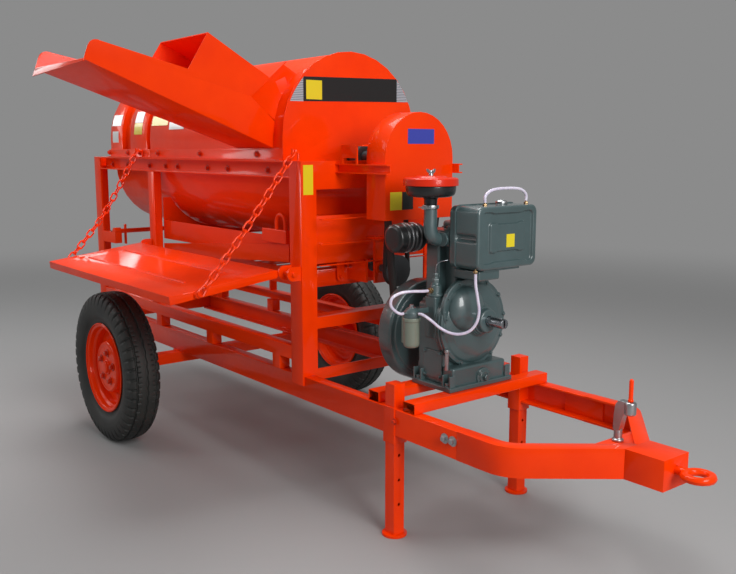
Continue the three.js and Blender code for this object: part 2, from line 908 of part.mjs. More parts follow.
// The cross shaft turns in a seat on each rear post and carries its lever on the right.
function leverShaft() {
  const half = leverShaftDiameter / 2;
  const end = postOuterY - leverSeatDepth / 2;
  const shaft = rod(leverShaftDiameter, 'y', -end, end, [leverShaftX, 0, leverShaftZ], 12);
  const lever = block(leverShaftX - leverWidth / 2, leverShaftX + leverWidth / 2,
    leverY - leverThickness / 2,
    leverY + leverThickness / 2, leverShaftZ - leverFall, leverShaftZ + leverRise);
  const seat = block(postRearFrontX - postThickness, leverShaftX + leverWidth, -postOuterY,
    -postOuterY + leverSeatDepth, leverShaftZ - half - leverSeatHeight, leverShaftZ - half / 2);
  const cap = rod(1.6 * leverShaftDiameter, 'y', -postOuterY + fit, -postOuterY + leverSeatDepth,
    [leverShaftX, 0, leverShaftZ], 14);
  return join(shaft, lever, ...pair(seat), ...pair(cap));
}

function rearFrame() {
  const post = anglePost(frameRearX, postRearFrontX, frameRearX, frameRearX + postThickness,
    beamTop - postOverlap, railTop);
  const end = postOuterY - postThickness / 2;
  const low = block(frameRearX, frameRearX + postThickness, -end, end, beamTop + fit,
    beamTop + fit + crossHeight);
  const cross = block(frameRearX, frameRearX + postThickness, -end, end, upperCrossZ,
    upperCrossZ + crossHeight);
  const top = block(frameRearX, frameRearX + postThickness, -end, end, railBottom, railTop);
  const shelf = block(frameRearX, fanRearX - 2 * fit, -casingRadius, casingRadius,
    shelfTop - postThickness, shelfTop);
  const inner = beamOuterY - beamWeb - fit;
  const room = beamFlange + fit;
  const chassisCross = block(frameRearX, frameRearX + postThickness, -inner, inner, beamBottom + room,
    beamTop - room);
  const webHalf = beamOuterY - beamDepth - fit;
  const neck = block(frameRearX, frameRearX + postThickness, -webHalf, webHalf, beamTop - 2 * room,
    beamTop + crossHeight / 2);
  const hook = chainHook(rearHookX, rearHookInset);
  return join(...pair(post), ...pair(topRail()), low, cross, top, shelf, chassisCross, neck, hook,
    leverShaft());
}

add(machine, 'frame_front', frontFrame(), orangePaint);
add(machine, 'frame_middle', middleFrame(), orangePaint);
add(machine, 'frame_rear', rearFrame(), orangePaint);

// Lower rails are angles that stand off the chassis beams on blocks
const spacerShares = [0.06, 0.36, 0.64, 0.94];

function lowerRail() {
  const x0 = postRearFrontX + fit;
  const x1 = postFrontRearX - fit;
  const skin = block(x0, x1, -postOuterY, -postOuterY + railThickness, lowerRailBottom, lowerRailTop);
  const roof = block(x0, x1, -postOuterY, -postOuterY + lowerRailDepth, lowerRailTop - railThickness,
    lowerRailTop);
  const spacers = spacerShares.map((share) => {
    const x = x0 + share * (x1 - x0);
    return block(x - bedWidth / 2, x + bedWidth / 2, -postOuterY, -postOuterY + lowerRailDepth,
      beamTop + fit, lowerRailBottom + railThickness);
  });
  return join(skin, roof, ...spacers);
}

add(machine, 'lower_rail_right', lowerRail(), orangePaint);
add(machine, 'lower_rail_left', mirrored(lowerRail()), orangePaint);

// Covers over the drum and the blowers, with their bolting strips on the top rails
function bolting(x0, x1) {
  const seat = railTop + fit;
  const strip = block(x0, x1, -coverHalfWidth - coverSheet, -coverHalfWidth + coverSheet / 2, seat,
    seat + coverStrip);
  const foot = block(x0, x1, -postOuterY, -coverHalfWidth + coverSheet / 2, seat, seat + coverSheet);
  const hookRoom = block(
    rearHookX - hookRod, rearHookX + hookRod, -postOuterY - overrun, -postOuterY + rearHookInset + hookRod,
    railTop - overrun, railTop + 2 * hookHeight,
  );
  return [cut(join(strip, foot), hookRoom), mirrored(join(strip, foot))];
}

// The feed mouth is drawn in the chute's own plane: u runs outwards up the floor, w square to it.
const slope = THREE.MathUtils.degToRad(chuteSlope);

function chutePlane(geometry) {
  const turn = new THREE.Matrix4().set(
    1, 0, 0, chuteX,
    0, -Math.cos(slope), Math.sin(slope), -chuteMouthY,
    0, Math.sin(slope), Math.cos(slope), chuteMouthZ,
    0, 0, 0, 1,
  );
  return shell(solid(geometry.clone().applyMatrix4(turn)));
}

function sideways(points, half) {
  return extrude(outlineOf(points), 'x', -half, half);
}

const flangeRun = new THREE.Vector2(collarTopOut - collarOut, collarTop - collarBase).normalize();

// The mouth is a low box between two taller cheeks, each with a square hole on its corner.
function mouthBox() {
  const box = sideways([
    [collarOut, collarBase],
    [roofOut, roofHeight],
    [-roofBackIn, roofBackHeight],
    [-2 * collarBackIn, 0.5 * collarBase],
  ], chuteMouthHalf);
  const cheeks = sideways([
    [collarOut, collarBase],
    [collarTopOut, collarTop],
    [-collarBackIn, collarBack],
    [-2 * collarBackIn, 0.5 * collarBase],
  ], chuteMouthHalf);
  const between = block(-chuteMouthHalf + chuteSheet, chuteMouthHalf - chuteSheet,
    -2 * collarOut, 2 * collarOut, 0, 2 * collarTop);
  const hole = sideways([
    [cheekHoleOut + cheekHoleHalf, cheekHoleHeight],
    [cheekHoleOut, cheekHoleHeight + cheekHoleHalf],
    [cheekHoleOut - cheekHoleHalf, cheekHoleHeight],
    [cheekHoleOut, cheekHoleHeight - cheekHoleHalf],
  ], 2 * chuteMouthHalf);
  return join(box, cut(cheeks, between, hole));
}

// A strip turned outwards along the cheeks' outer edge, round the mouth
function mouthFlange() {
  const [alongU, alongW] = [collarFlange * flangeRun.x, collarFlange * flangeRun.y];
  const [thickU, thickW] = [-chuteSheet * flangeRun.y, chuteSheet * flangeRun.x];
  const strip = sideways([
    [collarOut, collarBase],
    [collarTopOut + alongU, collarTop + alongW],
    [collarTopOut + alongU + thickU, collarTop + alongW + thickW],
    [collarOut + thickU, collarBase + thickW],
  ], chuteMouthHalf + collarFlange);
  const open = block(-chuteMouthHalf + chuteSheet, chuteMouthHalf - chuteSheet,
    -2 * collarOut, 2 * collarOut, roofHeight + collarFlange, 2 * collarTop);
  return cut(strip, open);
}

function drumCover() {
  const x0 = middleX + fit;
  const seat = railTop + fit;
  const skin = archShell(x0, coverFrontX, coverHalfWidth, seat, coverArchZ, coverSheet);
  const within = arch(coverHalfWidth - coverSheet / 2, seat, coverArchZ);
  const inside = extrude(within, 'x', x0, coverFrontX, archSteps);
  const hollow = chutePlane(sideways([
    [2 * collarOut, collarBase - 2 * collarFlange],
    [collarOut + overrun, collarBase + chuteSheet],
    [roofOut + overrun, roofHeight - chuteSheet],
    [-roofBackIn, roofBackHeight - 2 * chuteSheet],
    [-3 * collarBackIn, 0],
    [0, 0],
  ], chuteMouthHalf - chuteSheet));
  const raised = cut(chutePlane(join(mouthBox(), mouthFlange())), inside);
  return cut(join(skin, raised, ...bolting(x0, coverFrontX)), hollow);
}

add(machine, 'drum_cover', drumCover(), orangePaint);

function frontPlate() {
  const x0 = coverFrontX + fit;
  const outline = arch(coverHalfWidth + frontPlateProud, railTop + fit, coverArchZ);
  const upper = extrude(outline, 'x', x0, x0 + frontPlateSheet, archSteps);
  const lower = block(x0, x0 + frontPlateSheet, -casingRadius, casingRadius, frontPlateBottom,
    railTop + overrun);
  const hole = bore(shaftDiameter + 2 * runningGap, 'x', x0 - overrun, x0 + 2 * overrun,
    [0, 0, shaftZ], 20);
  return cut(join(upper, lower), hole);
}

add(machine, 'drum_front_plate', frontPlate(), orangePaint);

function fanCover() {
  const seat = railTop + fit;
  const narrow = coverHalfWidth - fanStepIn;
  const end = middleX - fit;
  const skin = archShell(fanRearX, end, narrow, seat, coverArchZ, coverSheet);
  const rings = [[fanRearX, fanRearFrontX], [fanFrontRearX, fanFrontX]].map(([x0, x1]) => {
    const ring = extrude(arch(coverHalfWidth, seat, coverArchZ), 'x', x0, x1, archSteps);
    const inner = narrow - coverSheet;
    return cut(ring, extrude(arch(inner, seat - overrun, coverArchZ), 'x', x0 - overrun, x1 + overrun,
      archSteps));
  });
  const grooves = [[fanRearX, fanRearFrontX], [fanFrontRearX, fanFrontX]].map(([x0, x1]) => extrude(
    arch(coverHalfWidth - coverSheet, seat - overrun,
      coverArchZ), 'x', x0 + coverSheet, x1 - coverSheet, archSteps,
  ));
  const back = extrude(arch(narrow, seat, coverArchZ), 'x', fanRearX, fanRearX + coverSheet, archSteps);
  const hole = rod(3 * shaftDiameter, 'x', fanRearX - overrun, fanRearX + 2 * overrun, [0, 0, shaftZ],
    20);
  return cut(join(cut(join(skin, ...rings), ...grooves), back, ...bolting(fanRearX, end)), hole);
}

add(machine, 'fan_cover', fanCover(), orangePaint);

// Lower casing: a trough under the drum and blowers with a slot for the grain
function trough(radius, top) {
  const shape = new THREE.Shape();
  shape.absarc(0, casingZ, radius, Math.PI, 2 * Math.PI);
  shape.lineTo(radius, top);
  shape.lineTo(-radius, top);
  return shape;
}

function lowerCasing() {
  const x0 = fanRearX;
  const x1 = coverFrontX;
  const inner = casingRadius - casingSheet;
  const outside = extrude(trough(casingRadius, railTop), 'x', x0, x1, archSteps);
  const rooms = [[x0 + casingSheet, middleX - casingSheet], [middleX, x1 - casingSheet]].map(([from, to]) => extrude(
    trough(inner, railTop + overrun), 'x', from, to, archSteps,
  ));
  const slot = block(middleX + 2 * casingSlot, x1 - casingSlot / 2, -casingSlot / 2, casingSlot / 2,
    casingZ - casingRadius - overrun, casingZ - inner / 2);
  const air = rod(5 * shaftDiameter, 'x', x0 - overrun, x0 + 2 * overrun, [0, 0, shaftZ], 20);
  const shaftHole = rod(shaftDiameter + 4 * runningGap, 'x', x0 + overrun, x1 + overrun, [0, 0, shaftZ], 20);
  return cut(outside, ...rooms, slot, air, shaftHole);
}

add(machine, 'lower_casing', lowerCasing(), orangePaint);

// Concave: hoops and bars in the casing's trough, under the drum
const concaveBareShare = 0.1;

function concave() {
  const outer = (casingRadius - casingSheet) * Math.cos(Math.PI / (4 * archSteps)) - fit;
  const inner = outer - concaveDepth;
  const x0 = middleX + coverSheet;
  const x1 = coverFrontX - 2 * coverSheet;
  const hoop = new THREE.Shape();
  const start = Math.PI * (1 + concaveBareShare);
  const end = Math.PI * (2 - concaveBareShare);
  hoop.absarc(0, casingZ, outer, start, end);
  hoop.absarc(0, casingZ, inner, end, start, true);
  const pieces = [];
  for (let i = 0; i < concaveHoops; i += 1) {
    const x = x0 + (i / (concaveHoops - 1)) * (x1 - x0 - concaveHoop);
    pieces.push(extrude(hoop, 'x', x, x + concaveHoop));
  }
  const radius = (inner + outer) / 2;
  for (let i = 0; i < concaveBars; i += 1) {
    const angle = start + ((i + 0.5) / concaveBars) * (end - start);
    const y = radius * Math.cos(angle);
    const z = casingZ + radius * Math.sin(angle);
    pieces.push(rod(concaveBar, 'x', x0, x1, [0, y, z], 4));
  }
  return join(...pieces);
}

add(machine, 'concave', concave(), bareSteel);

// A pulley with a cheek at each side
function pulley(diameter, x, width, centre, segments) {
  const radius = diameter / 2;
  const half = width / 2;
  const lip = radius + pulleyLip;
  return turned([
    [0, x - half - pulleyCheek],
    [lip, x - half - pulleyCheek],
    [lip, x - half],
    [radius, x - half],
    [radius, x + half],
    [lip, x + half],
    [lip, x + half + pulleyCheek],
    [0, x + half + pulleyCheek],
  ], 'x', centre, segments);
}

const guardShaftEnd = guardFrontX - guardSheet - runningGap;

// Rotor: shaft, discs, spiked beaters and fan blades
function rotor() {
  const centre = [0, 0, shaftZ];
  const pieces = [rod(shaftDiameter, 'x', frameRearX + postWidth / 2, guardShaftEnd, centre, 16)];
  const x0 = middleX + 4 * overrun;
  const x1 = coverFrontX - 4 * overrun;
  for (let i = 0; i < discCount; i += 1) {
    const x = x0 + (i / (discCount - 1)) * (x1 - x0 - discThickness);
    pieces.push(rod(2 * discRadius, 'x', x, x + discThickness, centre, 12));
  }
  for (let i = 0; i < beaterCount; i += 1) {
    const angle = (2 * Math.PI * i) / beaterCount;
    const bar = [block(x0, x1, discRadius - spikeSize, beaterReach, -beaterThickness / 2,
      beaterThickness / 2)];
    for (let k = 0; k < spikesPerBeater; k += 1) {
      const x = x0 + ((k + 0.5) / spikesPerBeater) * (x1 - x0);
      bar.push(block(x - spikeSize / 2, x + spikeSize / 2, beaterReach - spikeSize,
        beaterReach + spikeLength,
        -spikeSize / 2, spikeSize / 2));
    }
    pieces.push(join(...bar).rotateX(angle).translate(0, 0, shaftZ));
  }
  [[fanRearX, fanRearFrontX], [fanFrontRearX, fanFrontX]].forEach(([from, to]) => {
    for (let i = 0; i < bladesPerFan; i += 1) {
      const blade = block(from + 5 * runningGap, to - 5 * runningGap, 0, bladeReach,
        -bladeThickness / 2, bladeThickness / 2);
      pieces.push(blade.rotateX(((i + 0.25) * 2 * Math.PI) / bladesPerFan).translate(0, 0, shaftZ));
    }
  });
  return join(...pieces);
}

add(machine, 'rotor', rotor(), castGrey);

// Both pulleys of the drum's shaft sit on one sleeve.
function drumPulley() {
  const centre = [0, 0, shaftZ];
  const main = pulley(drumPulleyDiameter, beltX, beltWidth, centre, 22);
  const groove = counterPulleyWidth - 2 * pulleyCheek;
  const second = pulley(counterDriverDiameter, counterPulleyX, groove, centre, 16);
  const sleeve = rod(drumSleeveDiameter, 'x', counterPulleyX, beltX, centre, 16);
  const seat = bore(shaftDiameter, 'x', counterPulleyX - counterPulleyWidth, beltX + beltWidth, centre,
    16);
  return cut(join(main, second, sleeve), seat);
}

add(machine, 'drum_pulley', drumPulley(), castGrey);

// Plummer blocks that carry the rotor shaft
function plummerBlock(x) {
  const half = shaftDiameter * 0.5;
  const housing = rod(2 * shaftDiameter, 'x', x - half, x + half, [0, 0, shaftZ], 20);
  const foot = block(x - half, x + half, -2 * shaftDiameter, 2 * shaftDiameter, shelfTop + fit,
    shelfTop + fit + shelfDrop / 4);
  const neck = block(x - half, x + half, -shaftDiameter * 0.9, shaftDiameter * 0.9, shelfTop + fit,
    shaftZ);
  const seat = bore(shaftDiameter, 'x', x - half - overrun, x + half + overrun, [0, 0, shaftZ]);
  return cut(join(housing, foot, neck), seat);
}

const bearingFrontX = (coverFrontX + frontPlateSheet + postFrontX - postThickness) / 2;
const bearingRearX = (frameRearX + fanRearX) / 2;
add(machine, 'bearing_front', plummerBlock(bearingFrontX), castGrey);
add(machine, 'bearing_rear', plummerBlock(bearingRearX), castGrey);

// Feed chute: a flared trough with side walls, covered near the drum by a hood
function chutePlan(inset) {
  const start = -2 * collarBackIn;
  const mouth = chuteMouthHalf - inset;
  const near = (chuteEndNear - chuteMouthHalf) / chuteLength;
  const far = (chuteEndFar - chuteMouthHalf) / chuteLength;
  return extrude(outlineOf([
    [-mouth - far * start, start],
    [mouth + near * start, start],
    [chuteEndNear - inset, chuteLength],
    [-chuteEndFar + inset, chuteLength],
  ]), 'z', -overrun, 2 * hoodPeakHeight);
}

function chuteSide(inset) {
  const shape = new THREE.Shape();
  const start = -2 * collarBackIn;
  const round = chuteEndWall / 2;
  shape.moveTo(start, inset);
  shape.lineTo(inset > 0 ? chuteLength + overrun : chuteLength, inset);
  if (inset > 0) {
    shape.lineTo(chuteLength + overrun, 2 * hoodPeakHeight);
    shape.lineTo(hoodMouth + overrun, 2 * hoodPeakHeight);
    shape.lineTo(hoodMouth + overrun, chuteWall);
    shape.lineTo(hoodMouth, chuteWall);
  } else {
    shape.lineTo(chuteLength, chuteEndWall - round);
    shape.quadraticCurveTo(chuteLength, chuteEndWall, chuteLength - round, chuteEndWall);
    shape.lineTo(hoodMouth, chuteWall);
  }
  const rise = inset * 1.05;
  shape.lineTo(hoodPeak + (inset > 0 ? overrun : 0), hoodPeakHeight - rise);
  const fall = (hoodPeakHeight - hoodRearHeight) / (hoodPeak - hoodRear);
  shape.lineTo(start, hoodRearHeight - rise - (hoodRear - start) * fall);
  return shape;
}

function chuteSolid(inset) {
  const half = 2 * chuteEndNear;
  return common(chutePlan(inset), extrude(chuteSide(inset), 'x', -half, half, archSteps));
}

function feedChute() {
  const body = cut(chuteSolid(0), chuteSolid(chuteSheet));
  const lip = extrude(outlineOf([
    [-chuteEndFar, chuteSheet / 2],
    [-chuteEndFar, -lipDrop],
    [chuteEndNear, -lipDropNear],
    [chuteEndNear, chuteSheet / 2],
  ]), 'y', chuteLength - chuteSheet, chuteLength);
  const placed = chutePlane(join(body, lip));
  const clear = coverHalfWidth + fit;
  const bulk = arch(clear, railTop - 2 * casingRadius, coverArchZ);
  const drum = extrude(bulk, 'x', -2 * coverFrontX, 2 * coverFrontX, archSteps);
  const [outU, outW] = [fit * flangeRun.y, -fit * flangeRun.x];
  const [pastU, pastW] = [3 * collarFlange * flangeRun.x, 3 * collarFlange * flangeRun.y];
  const fall = 0.5 * collarBase / (collarOut + 2 * collarBackIn);
  const behind = chutePlane(sideways([
    [collarOut + outU, collarBase + outW - chuteSheet],
    [collarOut + outU, collarBase + outW],
    [collarTopOut + pastU + outU, collarTop + pastW + outW],
    [-4 * collarBackIn, collarTop + 3 * collarFlange],
    [-4 * collarBackIn, 0.5 * collarBase - 2 * collarBackIn * fall - chuteSheet],
  ], 2 * chuteEndNear));
  return cut(placed, drum, behind);
}

add(machine, 'feed_chute', feedChute(), orangePaint);

// Grain hopper: a sheet funnel under the trough, with the bracket for the counter shaft
function grainHopper() {
  const half = casingRadius;
  const x0 = middleX + middleWidth + fit;
  const x1 = postFrontX - postThickness - fit;
  const outer = block(x0, x1, -half, half, hopperBottom, hopperTop);
  const inner = block(x0 + casingSheet, x1 - casingSheet, -half + casingSheet, half - casingSheet,
    hopperBottom - overrun, hopperTop + overrun);
  const gable = block(x1 - casingSheet, x1, -half, half, hopperBottom, frontPlateBottom + overrun);
  const notchEnd = coverFrontX + frontPlateSheet + 4 * fit;
  const notch = bore(2 * casingRadius, 'x', x0 - overrun, notchEnd, [0, 0, casingZ], 28);
  const back = block(x0, x0 + casingSheet, -half, half, hopperBottom, casingZ - casingRadius / 2);
  const plate = block(x1 - casingSheet, bracketX + bracketThickness / 2, -hangerWidth / 2,
    hangerWidth / 2,
    hopperTop - 2 * casingSheet, hopperTop);
  const drop = block(bracketX - bracketThickness / 2, bracketX + bracketThickness / 2,
    -hangerWidth / 2, hangerWidth / 2,
    counterShaftZ - hangerWidth, hopperTop);
  const boss = rod(1.9 * counterShaftDiameter, 'x', bracketX - bracketThickness,
    bracketX + bracketThickness,
    [0, 0, counterShaftZ], 18);
  const seat = bore(counterShaftDiameter, 'x', bracketX - 2 * bracketThickness,
    bracketX + 2 * bracketThickness,
    [0, 0, counterShaftZ], 16);
  const pins = hangerPlaces().map(([x, y]) => rod(hangerPin, 'x', x - 2 * hangerThickness,
    x + 2 * hangerThickness,
    [0, y, hangerTopZ], 8));
  const rails = hangerPlaces().map(([x]) => block(x - 2 * hangerThickness, x - hangerThickness,
    -half, half, hangerTopZ - hangerPin, hangerTopZ + hangerPin));
  return cut(join(cut(join(outer, back), inner), gable, plate, drop, boss, ...rails, ...pins), notch,
    seat);
}

// Sieve box on four swinging hangers
const hangerLowZ = (sieveTop + sieveBottom) / 2;
const hangerFrontX = sieveFrontX + 2 * hangerThickness + runningGap;
const hangerRearX = sieveRearX - 2 * hangerThickness - runningGap;

function hangerPlaces() {
  return [[hangerFrontX, -hangerY], [hangerFrontX, hangerY], [hangerRearX, -hangerY],
    [hangerRearX, hangerY]];
}

add(machine, 'grain_hopper', grainHopper(), orangePaint);

function sieveBox() {
  const half = sieveHalfWidth;
  const outer = block(sieveRearX, sieveFrontX, -half, half, sieveBottom, sieveTop);
  const inner = block(sieveRearX + sieveSheet, sieveFrontX - sieveSheet, -half + sieveSheet,
    half - sieveSheet,
    sieveBottom + sieveSheet, sieveTop + overrun);
  const slots = [];
  const pitch = (sieveFrontX - sieveRearX) / sieveSlots;
  for (let i = 0; i < sieveSlots; i += 1) {
    const x = sieveRearX + (i + 0.5) * pitch;
    slots.push(block(x - sieveSlot / 2, x + sieveSlot / 2, -half * 0.8, half * 0.8,
      sieveBottom - overrun, sieveBottom + 2 * overrun));
  }
  const pins = hangerPlaces().map(([x, y]) => {
    const inward = x > 0 ? sieveFrontX - sieveSheet / 2 : sieveRearX + sieveSheet / 2;
    const outward = x > 0 ? x + 2 * hangerThickness : x - 2 * hangerThickness;
    return rod(hangerPin, 'x', Math.min(inward, outward), Math.max(inward, outward),
      [0, y, hangerLowZ], 8);
  });
  const reach = eccentricDiameter / 2 + eccentricThrow + sieveTravel + runningGap;
  const forkX = bracketX - 3 * bracketThickness;
  const fork = [-1, 1].map((side) => block(
    sieveFrontX - sieveSheet / 2, forkX + bracketThickness, side * reach - (side < 0 ? bracketThickness : 0),
    side * reach + (side > 0 ? bracketThickness : 0), hangerLowZ - hangerPin,
    counterShaftZ + eccentricDiameter / 2,
  ));
  const trim = block(sieveFrontX, hangerFrontX + 3 * hangerThickness, -2 * half, 2 * half,
    sieveTop, 2 * sieveTop);
  return join(cut(outer, inner, ...slots), ...pins, ...fork.map((prong) => cut(prong, trim)));
}

add(machine, 'sieve_box', sieveBox(), orangePaint);

function hanger([x, y]) {
  const radius = hangerWidth / 2;
  const shape = new THREE.Shape();
  shape.absarc(y, hangerTopZ, radius * 0.6, 0, Math.PI);
  shape.absarc(y, hangerLowZ, radius * 0.6, Math.PI, 2 * Math.PI);
  const plate = extrude(shape, 'x', x - hangerThickness / 2, x + hangerThickness / 2);
  const bores = [hangerTopZ, hangerLowZ].map((z) => bore(hangerPin, 'x', x - overrun - hangerThickness,
    x + overrun + hangerThickness, [0, y, z], 8));
  return cut(plate, ...bores);
}

const hangerNames = ['hanger_front_right', 'hanger_front_left', 'hanger_rear_right',
  'hanger_rear_left'];
hangerNames.forEach((name, i) => add(machine, name, hanger(hangerPlaces()[i]), orangePaint));

// Counter shaft with its eccentric and pulley
function counterShaft() {
  const centre = [0, 0, counterShaftZ];
  const rear = bracketX - 4 * bracketThickness;
  const shaft = rod(counterShaftDiameter, 'x', rear, counterPulleyX + counterPulleyWidth / 2, centre,
    16);
  const cam = rod(eccentricDiameter, 'x', rear, rear + 2 * bracketThickness,
    [0, 0, counterShaftZ + eccentricThrow], 20);
  return join(shaft, cam,
    pulley(counterPulleyDiameter, counterPulleyX, counterPulleyWidth - 2 * pulleyCheek, centre, 16));
}

add(machine, 'counter_shaft', counterShaft(), orangePaint);

// A belt around two pulleys, one above the other
function beltLoop(topRadius, lowRadius, topZ, lowZ) {
  const shape = new THREE.Shape();
  const lean = Math.asin((topRadius - lowRadius) / (topZ - lowZ));
  shape.absarc(0, topZ, topRadius, -lean, Math.PI + lean);
  shape.absarc(0, lowZ, lowRadius, Math.PI + lean, 2 * Math.PI - lean);
  return shape;
}

function belt(topDiameter, lowDiameter, topZ, lowZ, x, width) {
  const half = width / 2 - fit;
  const [top, low] = [topDiameter, lowDiameter].map((diameter) => clearOf(diameter / 2, 4 * archSteps));
  const outer = beltLoop(top + beltThickness, low + beltThickness, topZ, lowZ);
  const inner = beltLoop(top, low, topZ, lowZ);
  const room = extrude(inner, 'x', x - half - overrun, x + half + overrun, archSteps);
  return cut(extrude(outer, 'x', x - half, x + half, archSteps), room);
}

add(machine, 'drive_belt', belt(
  drumPulleyDiameter, enginePulleyDiameter, shaftZ, crankZ, beltX, beltWidth,
), beltRubber);
add(machine, 'counter_belt', belt(
  counterDriverDiameter, counterPulleyDiameter, shaftZ, counterShaftZ,
  counterPulleyX, counterPulleyWidth - 2 * pulleyCheek,
), beltRubber);

// Belt guard and the bracket that carries it
function beltGuard() {
  const skin = extrude(arch(guardHalfWidth, guardBottom, shaftZ), 'x', guardRearX, guardFrontX,
    archSteps);
  const inner = extrude(arch(guardHalfWidth - guardSheet, guardBottom - overrun, shaftZ), 'x',
    guardRearX + guardSheet, guardFrontX - guardSheet, archSteps);
  const hole = bore(drumSleeveDiameter + 2 * runningGap, 'x', guardRearX - overrun,
    guardRearX + 2 * overrun, [0, 0, shaftZ], 20);
  return cut(skin, inner, hole);
}

add(machine, 'belt_guard', beltGuard(), orangePaint);

function guardBracket() {
  const inner = guardHalfWidth + fit;
  const x0 = postFrontX + fit;
  const web = block(x0, armEndX, -inner - armSheet, -inner, armTop - armHeight, armTop);
  const roof = block(x0, armEndX, -inner - armDepth, -inner, armTop - armSheet, armTop);
  const floor = block(x0, armEndX, -inner - armDepth, -inner, armTop - armHeight,
    armTop - armHeight + armSheet);
  const x1 = shaftCoverX + shaftCoverLength;
  const end = inner + armDepth;
  const lid = block(shaftCoverX, guardRearX - fit, -end, end, shaftCoverTop - armSheet, shaftCoverTop);
  const walls = block(shaftCoverX, x1, -end, end, armTop - armSheet, shaftCoverTop);
  const hollow = block(shaftCoverX - overrun, x1 + overrun, -end + armSheet, end - armSheet,
    armTop - 2 * armSheet, shaftCoverTop - armSheet);
  const scoop = block(shaftCoverX + 2 * armSheet, x1 - 2 * armSheet, -2 * end, 2 * end,
    armTop + fit, armTop + shaftCoverScoop);
  return join(web, roof, floor, mirrored(web), mirrored(roof), mirrored(floor), lid,
    cut(walls, hollow, scoop));
}

add(machine, 'guard_bracket', guardBracket(), orangePaint);

// Side platform: a folded tray that turns on two pins, drawn level at its hinge
function platform() {
  const group = new THREE.Group();
  group.position.set(0, -platformHingeY, platformHingeZ);
  group.rotation.x = THREE.MathUtils.degToRad(platformDroop);
  const radius = knuckleDiameter / 2;
  const near = -radius - runningGap;
  const top = platformFold / 2;
  const tray = block(platformRearX, platformFrontX, -platformReach, near, top - platformFold, top);
  const hollow = block(platformRearX + platformSheet, platformFrontX - platformSheet,
    -platformReach + platformSheet,
    near - platformSheet, top - platformFold - overrun, top - platformSheet);
  const ribShares = [0.3, 0.68];
  const ribs = ribShares.map((share) => rod(
    platformRib, 'x', platformRearX + platformReach / 4, platformFrontX - platformReach / 3,
    [0, near - share * (platformReach + near), top], 6,
  ));
  const ears = [[platformRearX, platformRearX + 2 * lugThickness],
    [platformFrontX - 2 * lugThickness, platformFrontX]];
  const knuckles = ears.map(([x0, x1]) => join(
    rod(1.7 * knucklePin, 'x', x0, x1, [0, 0, 0], 14),
    block(x0, x1, near - platformSheet, 0, -0.8 * knucklePin, 0.8 * knucklePin),
  ));
  const bossEnds = [
    [platformRearX - chainBossLength, platformRearX + overrun],
    [platformFrontX - overrun, platformFrontX + chainBossLength],
  ];
  const bosses = bossEnds.map(([x0, x1]) => rod(
    chainBossDiameter, 'x', x0, x1, [0, chainEyeInset - platformReach, 0], 12,
  ));
  const bores = ears.map(([x0, x1]) => bore(knucklePin + 2 * fit, 'x', x0 - pinReach, x1 + pinReach,
    [0, 0, 0], 12));
  add(group, 'platform', cut(join(cut(tray, hollow), ...ribs, ...knuckles, ...bosses), ...bores),
    orangePaint);
  machine.add(group);
}

platform();

// Chains: links of round wire, each turned a quarter from the last, from hook to platform edge
function link(pitch) {
  const half = chainLinkWidth / 2 - chainWire / 2;
  const run = pitch / 2 + linkBite * chainWire - half;
  const points = [];
  for (let i = 0; i < linkFlats; i += 1) {
    const angle = (2 * Math.PI * (i + 0.5)) / linkFlats;
    points.push(new THREE.Vector3(half * Math.cos(angle),
      half * Math.sin(angle) + Math.sign(Math.sin(angle)) * run, 0));
  }
  return ringOf(points, chainWire / 2, 4);
}

// A closed ring of flat-sided wire around a loop of points in one plane
function ringOf(points, radius, sides) {
  const vertices = [];
  const faces = [];
  const count = points.length;
  points.forEach((point, i) => {
    const before = points[(i + count - 1) % count];
    const after = points[(i + 1) % count];
    const along = after.clone().sub(before).normalize();
    const out = new THREE.Vector3(along.y, -along.x, 0);
    for (let k = 0; k < sides; k += 1) {
      const angle = (2 * Math.PI * k) / sides;
      const corner = point.clone().addScaledVector(out, radius * Math.cos(angle));
      corner.z += radius * Math.sin(angle);
      vertices.push(corner.x, corner.y, corner.z);
    }
  });
  for (let i = 0; i < count; i += 1) {
    for (let k = 0; k < sides; k += 1) {
      const a = i * sides + k;
      const b = i * sides + ((k + 1) % sides);
      const c = ((i + 1) % count) * sides + k;
      const d = ((i + 1) % count) * sides + ((k + 1) % sides);
      faces.push(a, b, c, b, d, c);
    }
  }
  const geometry = new THREE.BufferGeometry();
  geometry.setAttribute('position', new THREE.Float32BufferAttribute(vertices, 3));
  geometry.setIndex(faces);
  return geometry;
}

// The route of a chain in real places: hook, sag and platform eye
function chain(route) {
  const curve = new THREE.CatmullRomCurve3(route.map((place) => new THREE.Vector3(...place)));
  const count = chainLinks;
  const pieces = [];
  const side = new THREE.Vector3(1, 0, 0);
  for (let i = 0; i < count; i += 1) {
    const middle = curve.getPointAt((i + 0.5) / count);
    const along = curve.getTangentAt((i + 0.5) / count);
    const across = side.clone().addScaledVector(along, -side.dot(along)).normalize();
    const third = new THREE.Vector3().crossVectors(across, along);
    const basis = i % 2 === 0 ? [across, along, third] : [third, along, across.clone().negate()];
    const turn = new THREE.Matrix4().makeBasis(...basis).setPosition(middle);
    pieces.push(link(curve.getLength() / count).applyMatrix4(turn));
  }
  return join(...pieces);
}

const droop = THREE.MathUtils.degToRad(platformDroop);
const eyeReach = platformReach - chainEyeInset;
const eyeY = -platformHingeY - eyeReach * Math.cos(droop);
const eyeZ = platformHingeZ - eyeReach * Math.sin(droop);
const chainTopY = -postOuterY - hookOut / 2;
const chainTopZ = railTop + hookHeight + (hookRod + chainWire) / 2 + fit - linkBite * chainWire * 0.7;
const chainSide = chainBossLength + 2 * fit + chainWire / 2;
const chainEndFrontX = platformFrontX + chainSide;
const chainEndRearX = platformRearX - chainSide;

